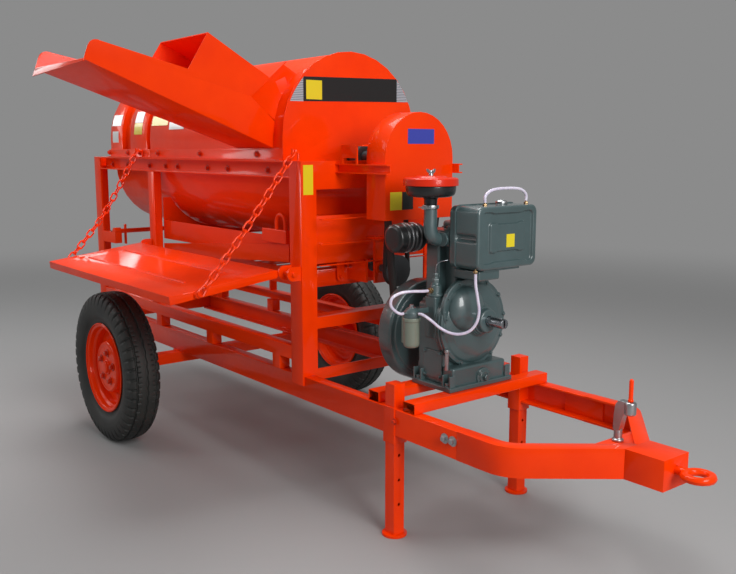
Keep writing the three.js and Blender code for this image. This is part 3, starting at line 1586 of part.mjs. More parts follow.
// Each route gives the sag as shares of the way from the hook to the platform.
function chainRoute(hookX, endX, sag) {
  const from = [hookX, chainTopY, chainTopZ];
  const to = [endX, eyeY, eyeZ];
  const middle = [0, 1, 2].map((i) => (from[i] + to[i]) / 2);
  return [from, [middle[0], middle[1] + sag / 2, middle[2] - sag], to];
}

add(machine, 'chain_front', chain(chainRoute(frontHookX, chainEndFrontX, frontChainSag)), orangePaint);
add(machine, 'chain_rear', chain(chainRoute(rearHookX, chainEndRearX, rearChainSag)), orangePaint);

// Engine, in a group that stands on its crankshaft
const engine = new THREE.Group();
engine.position.set(engineX, 0, crankZ);
machine.add(engine);

const baseBottom = bedTop + fit - crankZ;

function crankcase() {
  const base = block(-baseHalfLength, baseHalfLength, -baseHalfWidth, baseHalfWidth, baseBottom,
    baseBottom + baseThickness);
  const sump = block(-baseHalfLength + overrun, sumpFront, -sumpHalfWidth, sumpHalfWidth, baseBottom,
    -camHeight);
  const drum = rod(2 * crankcaseRadius, 'x', -crankcaseRear, crankcaseFront, [0, 0, 0], 24);
  const below = block(-2 * crankcaseRear, 2 * crankcaseRear, -2 * crankcaseRadius, 2 * crankcaseRadius,
    -2 * crankcaseRadius, baseBottom + baseThickness / 2);
  const cam = rod(2 * coverRadius, 'x', -crankcaseRear / 2, crankcaseFront, [0, 0, camHeight], 20);
  const top = block(-crankcaseRear, crankcaseFront, -blockHalfWidth, blockHalfWidth, 0, blockBottom);
  const pad = block(pumpX - pumpDiameter / 2, pumpX + pumpDiameter / 2, pumpY - pumpDiameter / 2,
    pumpY + pumpDiameter / 2,
    0, padTop);
  const deck = block(-2 * crankcaseRear, blockFront + fit, -2 * crankcaseRadius, 2 * crankcaseRadius,
    blockBottom, 2 * crankcaseRadius);
  const seat = bore(crankDiameter, 'x', -crankcaseRear - overrun, -crankcaseRear / 3, [0, 0, 0], 20);
  const sumpCover = rod(2 * sumpCoverRadius, 'x', sumpFront - overrun, sumpFront + sumpCoverProud,
    [0, sumpCoverY, sumpCoverZ], 18);
  return cut(join(base, sump, sumpCover, cut(join(cut(drum, below), cam, top), deck), pad), seat);
}

add(engine, 'crankcase', crankcase(), engineGrey);

// Gear cover: a round plate with a dome at its right and a boss round the starting shaft
function gearCover() {
  const x0 = crankcaseFront + fit;
  const plate = rod(2 * coverRadius, 'x', x0, x0 + coverPlate, [0, 0, camHeight], 20);
  const rings = [];
  const steps = 5;
  for (let i = 0; i <= steps; i += 1) {
    const angle = (i / steps) * (Math.PI / 2);
    rings.push([domeRadius * Math.cos(angle), x0 + coverPlate / 2 + domeBulge * Math.sin(angle)]);
  }
  const dome = turned([[0, x0], [domeRadius, x0], ...rings.slice(0, -1), [0, rings[steps][1]]],
    'x', [0, domeY, domeZ], 20);
  const boss = rod(startBossDiameter, 'x', x0, startBossEnd, [0, startShaftY, camHeight], 18);
  const seat = bore(startShaftDiameter, 'x', x0 - overrun, startBossEnd + overrun,
    [0, startShaftY, camHeight], 18);
  return cut(join(plate, dome, boss), seat);
}

add(engine, 'gear_cover', gearCover(), engineGrey);

function startShaft() {
  const centre = [0, startShaftY, camHeight];
  const shaft = rod(startShaftDiameter, 'x', crankcaseFront + 2 * fit, startShaftEnd, centre, 18);
  const notch = block(startShaftEnd - 2 * startNotch, startShaftEnd + overrun,
    startShaftY - startNotch / 2,
    startShaftY + startNotch / 2, camHeight - startShaftDiameter, camHeight + startShaftDiameter);
  return cut(shaft, notch);
}

add(engine, 'start_shaft', startShaft(), bareSteel);

function cylinderBlock() {
  const column = block(-crankcaseRear, blockFront, -blockHalfWidth, blockHalfWidth, blockBottom + fit,
    blockTop);
  const over = headOverhang;
  const head = block(-crankcaseRear - over, blockFront, -blockHalfWidth - over, blockHalfWidth + over,
    blockTop - fit, blockTop + headHeight);
  const valveCover = block(-crankcaseRear / 2 - blockFront, blockFront / 2, -blockHalfWidth * 0.4,
    blockHalfWidth * 0.8,
    blockTop, blockTop + headHeight + headHeight / 2);
  const inlet = rod(inletDiameter, 'y', cleanerY, -blockHalfWidth, [cleanerX, 0, silencerZ], 16);
  const elbow = pipe([
    [cleanerX, cleanerY + inletDiameter / 4, silencerZ],
    [cleanerX, cleanerY, silencerZ + inletDiameter / 3],
    [cleanerX, cleanerY, silencerZ + inletDiameter],
    [cleanerX, cleanerY, lidZ - bowlHeight - fit],
  ], inletDiameter, 14, 6);
  const bracket = block(0, tankRear + tankDepth / 3, -blockHalfWidth / 3, blockHalfWidth / 3,
    tankBottom - fit - headHeight / 2, tankBottom - fit);
  const shelf = extrude(outlineOf([
    [blockFront - headOverhang, tankRight + 2 * tankRound],
    [tankRear + tankDepth - tankRound, tankRight + 3 * tankRound],
    [tankRear + tankDepth - tankRound, tankRight + tankWidth - 4 * tankRound],
    [blockFront - headOverhang, tankRight + tankWidth - 7 * tankRound],
  ]), 'z', tankBottom - fit - headOverhang, tankBottom - fit);
  return join(column, head, valveCover, inlet, elbow, bracket, shelf);
}

add(engine, 'cylinder_block', cylinderBlock(), engineGrey);

function flywheel() {
  const radius = flywheelDiameter / 2;
  const inner = radius - flywheelRimDepth;
  const rear = -flywheelRear;
  const front = rear + flywheelRim;
  const webRear = rear + (flywheelRim - flywheelWeb) / 2;
  const hub = 1.1 * crankDiameter;
  const crank = crankDiameter / 2;
  const wheelBody = turned([
    [0, rear],
    [hub, rear],
    [hub, webRear],
    [inner, webRear],
    [inner + flywheelWeb / 2, rear],
    [radius, rear],
    [radius, front],
    [inner + flywheelWeb / 2, front],
    [inner, webRear + flywheelWeb],
    [hub, webRear + flywheelWeb],
    [hub, front],
    [crank, front],
    [crank, -crankcaseRear / 2],
    [0, -crankcaseRear / 2],
  ], 'x', [0, 0, 0], 24);
  const driver = pulley(enginePulleyDiameter, beltX - engineX, beltWidth, [0, 0, 0], 16);
  const neck = rod(2 * hub, 'x', beltX - engineX, rear + overrun, [0, 0, 0], 20);
  return join(wheelBody, driver, neck);
}

add(engine, 'flywheel', flywheel(), castGrey);

// A box with every edge rounded, standing on z = 0
function pressedBox(depth, width, height, radius) {
  const [a, b] = [depth / 2 - radius, width / 2 - radius];
  const rounded = new THREE.Shape();
  const corner = radius / 2;
  rounded.absarc(a, -b, corner, -Math.PI / 2, 0);
  rounded.absarc(a, b, corner, 0, Math.PI / 2);
  rounded.absarc(-a, b, corner, Math.PI / 2, Math.PI);
  rounded.absarc(-a, -b, corner, Math.PI, 1.5 * Math.PI);
  return new THREE.ExtrudeGeometry(rounded, {
    depth: height - radius,
    curveSegments: 1,
    bevelSize: corner,
    bevelThickness: corner,
    bevelSegments: 2,
  }).translate(0, 0, corner);
}

const fittingShare = 0.55;
const capShare = 0.6;
const returnShare = 0.72;
const returnEndShares = [0.237, 0.942];
const capX = tankRear + fittingShare * tankDepth;
const capY = tankRight + capShare * tankWidth;
const outletPlace = [tankRear + tankDepth - 1.4 * tankRound, tankRight + 0.85 * tankRound];
const returnPlaces = returnEndShares.map((share) => [
  tankRear + returnShare * tankDepth, tankRight + share * tankWidth,
]);

function fuelTank() {
  const front = tankRear + tankDepth;
  const left = tankRight + tankWidth;
  const top = tankBottom + tankHeight;
  const middle = tankBottom + tankHeight / 2;
  const body = pressedBox(tankDepth, tankWidth, tankHeight, tankRound)
    .translate(tankRear + tankDepth / 2, tankRight + tankWidth / 2, tankBottom);
  const groove = rod(2 * tankRound, 'x', tankRear - overrun, front + overrun,
    [0, tankRight + tankGroove - tankRound, middle], 16);
  const panel = block(front - tankRound, front + tankPanelProud, tankRight + tankPanelInset,
    left - tankPanelInset, tankBottom + tankPanelInset, top - tankPanelInset);
  const neck = rod(0.8 * capDiameter, 'z', top - tankRound, top + capHeight / 2, [capX, capY, 0], 16);
  const nipples = [
    rod(nippleDiameter, 'z', tankBottom - nippleLength, tankBottom + tankRound, [...outletPlace, 0],
      10),
    ...returnPlaces.map((place) => rod(
      nippleDiameter, 'z', top - tankRound, top + nippleLength, [...place, 0], 10,
    )),
  ];
  return join(cut(body, groove), panel, neck, ...nipples);
}

add(engine, 'fuel_tank', fuelTank(), engineGrey);

function tankCap() {
  const bottom = tankBottom + tankHeight + fit;
  const neck = clearOf(0.4 * capDiameter, 20);
  return turned([
    [neck, bottom],
    [capDiameter / 2, bottom],
    [capDiameter / 2, bottom + capHeight * 0.7],
    [capDiameter * 0.3, bottom + capHeight],
    [0, bottom + capHeight],
    [0, bottom + capHeight / 2 + fit],
    [neck, bottom + capHeight / 2 + fit],
    [neck, bottom],
  ], 'z', [capX, capY, 0], 20);
}

add(engine, 'tank_cap', tankCap(), bareSteel);

function airCleaner() {
  const bowl = bowlDiameter / 2;
  const lid = lidDiameter / 2;
  return turned([
    [0, lidZ - bowlHeight],
    [0.82 * bowl, lidZ - bowlHeight],
    [bowl, lidZ - 0.7 * bowlHeight],
    [bowl, lidZ],
    [lid, lidZ],
    [lid, lidZ + 0.72 * lidHeight],
    [0.55 * lid, lidZ + lidHeight],
    [0.14 * lid, lidZ + lidHeight],
    [0.05 * lid, lidZ + 1.4 * lidHeight],
    [0, lidZ + 1.4 * lidHeight],
  ], 'z', [cleanerX, cleanerY, 0], 20);
}

add(engine, 'air_cleaner', airCleaner(), orangePaint);

function silencer() {
  const radius = silencerDiameter / 2;
  const end = -blockHalfWidth - headOverhang - fit;
  const far = end - nippleLength / 2;
  return turned([
    [0, -silencerEnd],
    [0.88 * radius, -silencerEnd],
    [radius, -silencerEnd + nippleLength],
    [radius, far - nippleLength],
    [0.88 * radius, far],
    [0.5 * radius, far],
    [0.5 * radius, end],
    [0, end],
  ], 'y', [silencerX, 0, silencerZ], 16);
}

add(engine, 'silencer', silencer(), blackPaint);

const filterTop = filterBottom + filterHeight;
const portZ = filterTop + filterHeadHeight / 2;
const portReach = filterDiameter / 2 + nippleLength + fit;
const pumpPortShare = 0.25;

function fuelFilter() {
  const radius = filterDiameter / 2;
  const canister = turned([
    [0, filterBottom],
    [0.7 * radius, filterBottom],
    [radius, filterBottom + 0.3 * radius],
    [radius, filterTop],
    [1.12 * radius, filterTop],
    [1.12 * radius, filterTop + filterHeadHeight / 2],
    [0.6 * radius, filterTop + filterHeadHeight],
    [0, filterTop + filterHeadHeight],
  ], 'z', [filterX, filterY, 0], 14);
  const arm = block(filterX - radius * 0.6, filterX + radius * 0.6, filterY,
    pumpY - pumpDiameter / 2 - fit,
    filterTop + filterHeadHeight / 3, filterTop + filterHeadHeight * 0.9);
  const room = rod(2 * (crankcaseRadius + fit), 'x', -2 * crankcaseRear, 2 * crankcaseRear, [0, 0, 0],
    24);
  const outPort = rod(nippleDiameter, 'y', filterY - radius - nippleLength, filterY,
    [filterX, 0, portZ], 10);
  const inPort = rod(nippleDiameter, 'x', filterX, filterX + radius + nippleLength,
    [0, filterY, portZ], 10);
  return join(canister, cut(arm, room), outPort, inPort);
}

add(engine, 'fuel_filter', fuelFilter(), filterGrey);

function injectionPump() {
  const radius = pumpDiameter / 2;
  const bottom = padTop + fit;
  const body = turned([
    [0, bottom],
    [radius, bottom],
    [radius, bottom + 0.3 * pumpHeight],
    [0.72 * radius, bottom + 0.36 * pumpHeight],
    [0.72 * radius, bottom + 0.8 * pumpHeight],
    [0.4 * radius, bottom + 0.86 * pumpHeight],
    [0.4 * radius, bottom + pumpHeight],
    [0, bottom + pumpHeight],
  ], 'z', [pumpX, pumpY, 0], 16);
  const port = rod(nippleDiameter, 'y', pumpY - radius - nippleLength, pumpY,
    [pumpX, 0, bottom + pumpPortShare * pumpHeight], 10);
  return join(body, port);
}

add(engine, 'injection_pump', injectionPump(), castGrey);

// Fuel hoses, each from one fitting to the next, in the engine's own places
const pumpPortZ = padTop + fit + pumpPortShare * pumpHeight;
const pumpPortY = pumpY - pumpDiameter / 2 - nippleLength - fit;
const tankTopZ = tankBottom + tankHeight + nippleLength + fit;
const outletZ = tankBottom - nippleLength - fit;

function fuelHose(route, steps) {
  return shell(solid(pipe(route, hoseDiameter, 8, steps)));
}

const pumpHoseRoute = [
  [pumpX, pumpPortY, pumpPortZ],
  [-8, -202, 202],
  [-20, -244, 204],
  [-36, -286, 200],
  [-47, -317, 182],
  [-48, -321, 156],
  [-40, -304, 133],
  [-30, -290, 124.5],
  [filterX, filterY - portReach, portZ],
];
const tankHoseRoute = [
  [filterX + portReach, filterY, portZ],
  [30, -236, 124],
  [52, -218, 106],
  [72, -188, 76],
  [96, -162, 58],
  [122, -136, 54],
  [148, -112, 67],
  [166, -96, 98],
  [172, -90, 140],
  [167, -93, 186],
  [159, -97, 238],
  [...outletPlace, outletZ],
];
const returnHoseRoute = [
  [...returnPlaces[0], tankTopZ],
  [140, -37, 550],
  [140, -12, 569],
  [140, 72, 577],
  [140, 156, 569],
  [140, 181, 550],
  [...returnPlaces[1], tankTopZ],
];

add(engine, 'fuel_hose_pump', fuelHose(pumpHoseRoute, 20), hosePlastic);
add(engine, 'fuel_hose_tank', fuelHose(tankHoseRoute, 26), hosePlastic);
add(engine, 'return_hose', fuelHose(returnHoseRoute, 18), hosePlastic);

// Starting handle, kept on the peg of the drawbar
const handleBottom = gussetTop + fit;

function startHandle() {
  const radius = handleHubDiameter / 2;
  const hubTop = handleBottom + handleHubHeight;
  const hub = rod(handleHubDiameter, 'z', handleBottom, hubTop, [handleX, 0, 0], 16);
  const socketTop = gussetTop + pegHeight + runningGap;
  const socket = bore(pegDiameter + 2 * fit, 'z', handleBottom - overrun, socketTop, [handleX, 0, 0],
    14);
  const armBar = block(handleX, handleX + handleArm, -radius * 0.6, radius * 0.6, hubTop - radius,
    hubTop);
  const eye = rod(handleHubDiameter, 'z', hubTop - radius, hubTop, [handleX + handleArm, 0, 0], 14);
  const pin = rod(gripDiameter / 2, 'z', hubTop - radius, hubTop + gripLength * 0.9,
    [handleX + handleArm, 0, 0], 10);
  return cut(join(hub, armBar, eye, pin), socket);
}

function handleGrip() {
  const bottom = handleBottom + handleHubHeight + fit;
  const seat = clearOf(gripDiameter / 4, 14);
  const radius = gripDiameter / 2;
  const top = bottom + gripLength;
  return turned([
    [seat, bottom],
    [radius, bottom],
    [radius, top - radius / 2],
    [radius / 2, top],
    [0, top],
    [0, top - radius / 2],
    [seat, top - radius / 2],
    [seat, bottom],
  ], 'z', [handleX + handleArm, 0, 0], 14);
}

add(machine, 'start_handle', startHandle(), bareSteel);
add(machine, 'handle_grip', handleGrip(), orangePaint);

// The machine is centred over the middle of its own floor plan.
machine.updateMatrixWorld(true);
const bounds = new THREE.Box3().setFromObject(machine, true);
const centre = bounds.getCenter(new THREE.Vector3());
machine.position.set(-centre.x, -centre.y, -bounds.min.z);

export default machine;
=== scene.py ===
import json
import math

import bmesh
import bpy
import numpy as np
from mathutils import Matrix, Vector

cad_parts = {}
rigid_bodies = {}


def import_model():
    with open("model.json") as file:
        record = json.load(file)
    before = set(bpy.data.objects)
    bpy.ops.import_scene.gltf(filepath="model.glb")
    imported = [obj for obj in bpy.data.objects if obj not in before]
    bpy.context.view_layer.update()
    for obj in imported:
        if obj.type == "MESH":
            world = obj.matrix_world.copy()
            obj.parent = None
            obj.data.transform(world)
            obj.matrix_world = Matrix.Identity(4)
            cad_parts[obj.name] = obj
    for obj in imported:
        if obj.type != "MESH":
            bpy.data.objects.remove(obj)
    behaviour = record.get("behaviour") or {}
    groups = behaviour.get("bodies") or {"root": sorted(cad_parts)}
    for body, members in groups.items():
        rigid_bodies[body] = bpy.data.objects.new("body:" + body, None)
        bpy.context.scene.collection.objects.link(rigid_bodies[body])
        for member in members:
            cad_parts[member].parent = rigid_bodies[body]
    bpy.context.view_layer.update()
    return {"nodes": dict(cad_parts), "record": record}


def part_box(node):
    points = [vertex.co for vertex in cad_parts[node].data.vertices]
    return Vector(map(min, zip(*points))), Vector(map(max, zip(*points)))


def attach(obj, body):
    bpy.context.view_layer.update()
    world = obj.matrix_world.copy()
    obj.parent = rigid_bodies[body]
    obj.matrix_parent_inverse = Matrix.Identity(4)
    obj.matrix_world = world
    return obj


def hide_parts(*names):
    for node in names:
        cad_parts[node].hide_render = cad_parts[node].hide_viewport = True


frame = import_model()

# Camera, lights and floor.
# Places are given in the machine's own millimetres: x forward from the axle, y left of the middle, z up
# from the ground. The axle's box gives the point of the floor that they are measured from.
axle_low, axle_high = (np.array(corner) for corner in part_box("axle"))
axle_foot = (axle_low + axle_high) / 2 * [1, 1, 0]


def metres(points):
    """Points in the machine's millimetres, moved to the frame's metres."""
    return np.asarray(points, float) / 1000 + axle_foot


# The camera as fitted to the photograph: its turn and dip, place, focal length in pixels and picture width.
azimuth, elevation, focal_pixels, picture_width = math.radians(51.56), math.radians(9.10), 872.8, 736
camera_place = [4055, -2331, 1431]
forward = np.array([-math.sin(azimuth) * math.cos(elevation), math.cos(azimuth) * math.cos(elevation),
                    -math.sin(elevation)])
right = np.array([math.cos(azimuth), math.sin(azimuth), 0])
in_scene = bpy.context.scene.collection.objects
camera = bpy.data.objects.new("camera", bpy.data.cameras.new("camera"))
in_scene.link(camera)
pose = np.eye(4)
pose[:3, 0], pose[:3, 1], pose[:3, 2] = right, np.cross(right, forward), -forward
pose[:3, 3] = metres(camera_place)
camera.matrix_world = pose.T.tolist()
camera.data.sensor_width = 36
camera.data.lens = focal_pixels / picture_width * camera.data.sensor_width
camera.data.clip_end = 200
bpy.context.scene.camera = camera
bpy.context.scene.view_settings.view_transform = "Standard"


def lamp(name, place, aim, wide, tall, watts):
    """A softbox at a place in metres, turned so that it faces the aim, wide across and tall upwards."""
    data = bpy.data.lights.new(name, "AREA")
    data.shape, data.size, data.size_y, data.energy = "RECTANGLE", wide, tall, watts
    light = bpy.data.objects.new(name, data)
    in_scene.link(light)
    light.location = place
    light.rotation_euler = (Vector(place) - Vector(aim)).to_track_quat("Z", "Y").to_euler()
    light.visible_camera = False


lamp("key_softbox", (5.9, -0.9, 3.4), (0.4, 0, 1.1), 2.2, 3.8, 275)
lamp("side_softbox", (-3.4, -5.2, 4.4), (-0.4, 0, 1.4), 2.6, 2.6, 60)
lamp("top_softbox", (-0.6, 0.4, 5.0), (0, 0, 1.0), 2.8, 2.8, 170)
lamp("rear_softbox", (-5.4, -2.4, 3.0), (0, 0, 1.0), 2.6, 1.4, 55)
lamp("window_panel", (-6.38, 1.62, 2.18), (-0.9, -0.42, 0.9), 0.27, 0.13, 0.9)
lamp("wall_panel", (-6.60, 1.17, 2.12), (-0.9, -0.55, 0.9), 0.62, 0.34, 3.0)


def linear(colour):
    """The linear RGBA of an sRGB hex colour: each channel goes through the sRGB curve."""
    channels = np.array([int(colour[i:i + 2], 16) for i in (1, 3, 5)]) / 255
    curve = np.where(channels <= 0.04045, channels / 12.92, ((channels + 0.055) / 1.055) ** 2.4)
    return (*curve, 1.0)


def add_node(tree, kind, sockets=None, **settings):
    """Adds one shader node, with its settings, and fills its sockets with values or links. A node given as a
    value stands for its first output."""
    node = tree.nodes.new(f"ShaderNode{kind}")
    for key, value in settings.items():
        setattr(node, key, value)
    for key, value in (sockets or {}).items():
        value = value.outputs[0] if isinstance(value, bpy.types.Node) else value
        if isinstance(value, bpy.types.NodeSocket):
            tree.links.new(value, node.inputs[key])
        else:
            node.inputs[key].default_value = value
    return node


def new_material(name):
    """An empty node material, and the tree to fill."""
    material = bpy.data.materials.new(name)
    material.use_nodes = True
    material.node_tree.nodes.clear()
    return material, material.node_tree


def end_in(tree, surface):
    """Joins the last node of a material to its output."""
    add_node(tree, "OutputMaterial", {"Surface": surface})


# The paper is pale grey, and between the two distances it runs into the backdrop's own grey.
backdrop_grey, paper_ends, backdrop_starts, half_floor = linear("#8b8b8b"), 3.2, 10.0, 40
studio_paper, tree = new_material("matt_studio_paper")
where = add_node(tree, "TexCoord")
away = add_node(tree, "VectorMath", {0: where.outputs["Object"]}, operation="LENGTH")
blend = add_node(tree, "MapRange", {
    "Value": away.outputs["Value"], "From Min": paper_ends, "From Max": backdrop_starts},
    interpolation_type="SMOOTHSTEP")
paper = add_node(tree, "BsdfPrincipled", {
    "Base Color": linear("#9b9b9b"), "Roughness": 0.7, "Specular IOR Level": 0.25})
far_paper = add_node(tree, "Emission", {"Color": backdrop_grey, "Strength": 1.0})
end_in(tree, add_node(tree, "MixShader", {0: blend, 1: paper, 2: far_paper}))
floor_mesh = bpy.data.meshes.new("studio_floor")
corners = [(half_floor * x, half_floor * y, 0) for x, y in ((-1, -1), (1, -1), (1, 1), (-1, 1))]
floor_mesh.from_pydata(corners, [], [(0, 1, 2, 3)])
floor_mesh.materials.append(studio_paper)
studio_floor = bpy.data.objects.new("studio_floor", floor_mesh)
in_scene.link(studio_floor)

world = bpy.data.worlds.new("studio")
world.use_nodes = True
bpy.context.scene.world = world
tree = world.node_tree
tree.nodes.clear()
ray = add_node(tree, "LightPath")
seen = add_node(tree, "Math", {0: ray.outputs["Is Camera Ray"], 1: ray.outputs["Is Glossy Ray"]}, operation="MAXIMUM")
dim = add_node(tree, "Background", {"Color": linear("#f2f2f2"), "Strength": 0.26})
backdrop = add_node(tree, "Background", {"Color": backdrop_grey, "Strength": 1.0})
sky = add_node(tree, "MixShader", {0: seen, 1: dim, 2: backdrop})
add_node(tree, "OutputWorld", {"Surface": sky})


# Fuel hoses: soft clear tubing with a lilac tint, cut to length and pushed over brass tails.
# Each is a round tube on a smooth curve through the points of its route.
def unit(vectors):
    """The vectors divided by their lengths."""
    return vectors / np.linalg.norm(vectors, axis=-1, keepdims=True)


def full_turn(count, shift=0.0):
    """Angles spaced evenly round a circle, shifted by a share of their step."""
    return 2 * np.pi * (np.arange(count) + shift) / count


def arc(a, b, radius, angle):
    """Points of a circle about (a, b): the radius times the cosine and the sine of each angle."""
    return np.stack([a + radius * np.cos(angle), b + radius * np.sin(angle)], -1)


def smooth_route(points, steps):
    """Smooth curve through the points: each span is a cubic whose knots are spaced by the square root of
    the distance between its points, sampled evenly along its length."""
    points = np.asarray(points, float)
    ends = np.vstack([2 * points[0] - points[1], points, 2 * points[-1] - points[-2]])
    out = []
    for a, b, c, d in zip(ends, ends[1:], ends[2:], ends[3:]):
        ta, tb, tc = (np.linalg.norm(q - p) ** 0.5 for p, q in ((a, b), (b, c), (c, d)))
        m1 = ((b - a) / ta - (c - a) / (ta + tb) + (c - b) / tb) * tb
        m2 = ((c - b) / tb - (d - b) / (tb + tc) + (d - c) / tc) * tb
        t = np.linspace(0, 1, 40)[:, None]
        out.append((2 * t**3 - 3 * t**2 + 1) * b + (t**3 - 2 * t**2 + t) * m1
                   + (-2 * t**3 + 3 * t**2) * c + (t**3 - t**2) * m2)
    line = np.vstack([span[:-1] for span in out] + [points[-1:]])
    run = np.concatenate([[0], np.cumsum(np.linalg.norm(np.diff(line, axis=0), axis=1))])
    even = np.linspace(0, run[-1], steps)
    return np.stack([np.interp(even, run, line[:, i]) for i in range(3)], -1)


def grid_faces(rows, columns, close_rows=False, close_columns=False):
    """Quads of a grid of points stored row by row, closed round either way if asked."""
    i = np.arange(rows if close_rows else rows - 1)[:, None]
    j = np.arange(columns if close_columns else columns - 1)[None, :]
    i2, j2 = (i + 1) % rows, (j + 1) % columns
    return np.stack([i * columns + j, i * columns + j2, i2 * columns + j2, i2 * columns + j], -1).reshape(-1, 4)


def piece(name, points, faces, material, body="chassis", replaces="", sharp=34):
    """A mesh piece from points in the machine's millimetres. Its faces are turned outwards, it is shaded
    smooth up to the sharp angle, and it rides on its body."""
    mesh = bpy.data.meshes.new(name)
    mesh.from_pydata(metres(points).tolist(), [], [list(map(int, face)) for face in faces])
    work = bmesh.new()
    work.from_mesh(mesh)
    bmesh.ops.remove_doubles(work, verts=work.verts, dist=1e-6)
    bmesh.ops.recalc_face_normals(work, faces=work.faces)
    work.to_mesh(mesh)
    work.free()
    mesh.shade_smooth()
    mesh.set_sharp_from_angle(angle=math.radians(sharp))
    mesh.materials.append(material)
    made = bpy.data.objects.new(name, mesh)
    in_scene.link(made)
    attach(made, body)
    if replaces:
        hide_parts(replaces)
    return made


def tube(line, radius, sides=14, closed=False):
    """Points and faces of a round tube: a circle carried along the line, kept square to it, with each
    circle turned as little as possible from the last. The radius may change along the line."""
    line = np.asarray(line, float)
    count = len(line)
    along = unit(np.roll(line, -1, 0) - np.roll(line, 1, 0) if closed else np.gradient(line, axis=0))
    across = np.zeros_like(line)
    seed = np.eye(3)[np.argmin(np.abs(along[0]))]
    for i in range(count):
        across[i] = seed = unit(seed - along[i] * (seed @ along[i]))
    third = np.cross(along, across)
    angle = full_turn(sides)[:, None]
    reach = np.broadcast_to(np.asarray(radius, float), (count,))[:, None, None]
    circle = across[:, None] * np.cos(angle) + third[:, None] * np.sin(angle)
    points = line[:, None] + reach * circle
    faces = list(grid_faces(count, sides, closed, True))
    if not closed:
        faces += [list(range(sides))[::-1], list(range((count - 1) * sides, count * sides))]
    return points.reshape(-1, 3), faces


def speckle(tree, scale, detail):
    """Noise in the object's own coordinates. Its coarsest grain is one over the scale, in metres."""
    where = add_node(tree, "TexCoord").outputs["Object"]
    return add_node(tree, "TexNoise", {"Vector": where, "Scale": scale, "Detail": detail})


def two_tone(tree, factor, low, high, first, second):
    """A colour that runs from the first hex colour to the second as the factor goes from low to high."""
    tones = add_node(tree, "ValToRGB", {"Fac": factor})
    for stop, place, colour in zip(tones.color_ramp.elements, (low, high), (first, second)):
        stop.position, stop.color = place, linear(colour)
    return tones


hose_tubing, tree = new_material("lilac_pvc_tubing")
lilac = two_tone(tree, speckle(tree, 45, 3), 0.35, 0.7, "#cfc6dc", "#e6e0ee")
end_in(tree, add_node(tree, "BsdfPrincipled", {
    "Base Color": lilac, "Roughness": 0.28, "IOR": 1.52, "Subsurface Weight": 0.25,
    "Subsurface Radius": (0.004, 0.0035, 0.004), "Coat Weight": 0.3, "Coat Roughness": 0.1}))

engine_x, crank_z, hose_diameter = 1705, 705, 11
hose_routes = {
    "fuel_hose_pump": [
        (-7, -177.3, 201.3), (-8, -202, 202), (-20, -244, 204), (-36, -286, 200), (-47, -317, 182), (-48, -321, 156),
        (-40, -304, 133), (-30, -290, 124.5), (-30, -277.3, 124)],
    "fuel_hose_tank": [
        (11.3, -236, 124), (30, -236, 124), (52, -218, 106), (72, -188, 76), (96, -162, 58), (122, -136, 54),
        (148, -112, 67), (166, -96, 98), (172, -90, 140), (167, -93, 186), (159, -97, 238), (158.2, -97.55, 275.7)],
    "return_hose": [
        (140, -38.06, 528.3), (140, -37, 550), (140, -12, 569), (140, 72, 577), (140, 156, 569), (140, 181, 550),
        (140, 181.9, 528.3)],
}
for name, route in hose_routes.items():
    line = smooth_route(np.array(route) + [engine_x, 0, crank_z], 90)
    hose = piece(f"{name}_tube", *tube(line, hose_diameter / 2), hose_tubing, replaces=name)


# Chassis: two channel beams with the axle under them, the engine's cross bars and the prop legs.
# All is rolled and folded steel, welded, and sprayed in one coat of gloss orange enamel.
def grained(tree, scale, detail, strength, depth):
    """The normal of a surface with a fine bump, depth metres deep."""
    return add_node(tree, "Bump", {"Height": speckle(tree, scale, detail), "Strength": strength, "Distance": depth})


def enamel(name, colour, shade, rough, coat, grit, shine=0.5):
    """Sprayed enamel: the colour drifts slightly over a hand's width, and the skin has a fine
    orange-peel bump whose grains are grit millimetres across."""
    material, tree = new_material(name)
    gloss = add_node(tree, "MapRange", {
        "Value": speckle(tree, 38, 6), "From Min": 0.3, "From Max": 0.75, "To Min": rough, "To Max": rough + 0.08})
    end_in(tree, add_node(tree, "BsdfPrincipled", {
        "Base Color": two_tone(tree, speckle(tree, 6, 4), 0.3, 0.72, shade, colour), "Roughness": gloss,
        "Normal": grained(tree, 1000 / grit, 2, 0.04, 0.001), "Specular IOR Level": shine, "Coat Weight": coat,
        "Coat Roughness": 0.08, "IOR": 1.5}))
    return material


orange = enamel("gloss_orange_enamel", "#f93e00", "#f03600", 0.34, 0.3, 5, 0.06)


def rounded(made, width, segments=2):
    """Rounds every edge of a piece that is sharper than 30 degrees, by width millimetres."""
    edge = made.modifiers.new("rounded edges", "BEVEL")
    edge.width, edge.segments, edge.limit_method = width / 1000, segments, "ANGLE"
    edge.angle_limit, edge.harden_normals, edge.use_clamp_overlap = math.radians(30), True, True


def eased(node, material, width=1.2):
    """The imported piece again, with its loose triangles merged into flat faces and its edges rounded."""
    made = frame["nodes"][node].copy()
    made.data = made.data.copy()
    for key in [key for key in made.keys() if key.startswith("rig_")]:
        del made[key]
    made.name = f"{node}_eased"
    made.parent = None
    in_scene.link(made)
    work = bmesh.new()
    work.from_mesh(made.data)
    bmesh.ops.remove_doubles(work, verts=work.verts, dist=2e-5)
    bmesh.ops.dissolve_limit(work, angle_limit=math.radians(1), verts=work.verts, edges=work.edges)
    work.to_mesh(made.data)
    work.free()
    made.data.shade_smooth()
    made.data.materials.clear()
    made.data.materials.append(material)
    rounded(made, width)
    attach(made, next(body for body, nodes in frame["record"]["behaviour"]["bodies"].items() if node in nodes))
    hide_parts(node)


for node in ("axle", "chassis_beam_right", "chassis_beam_left", "engine_bed_rear", "engine_bed_front",
             "leg_right", "leg_left"):
    eased(node, orange, 2.4)


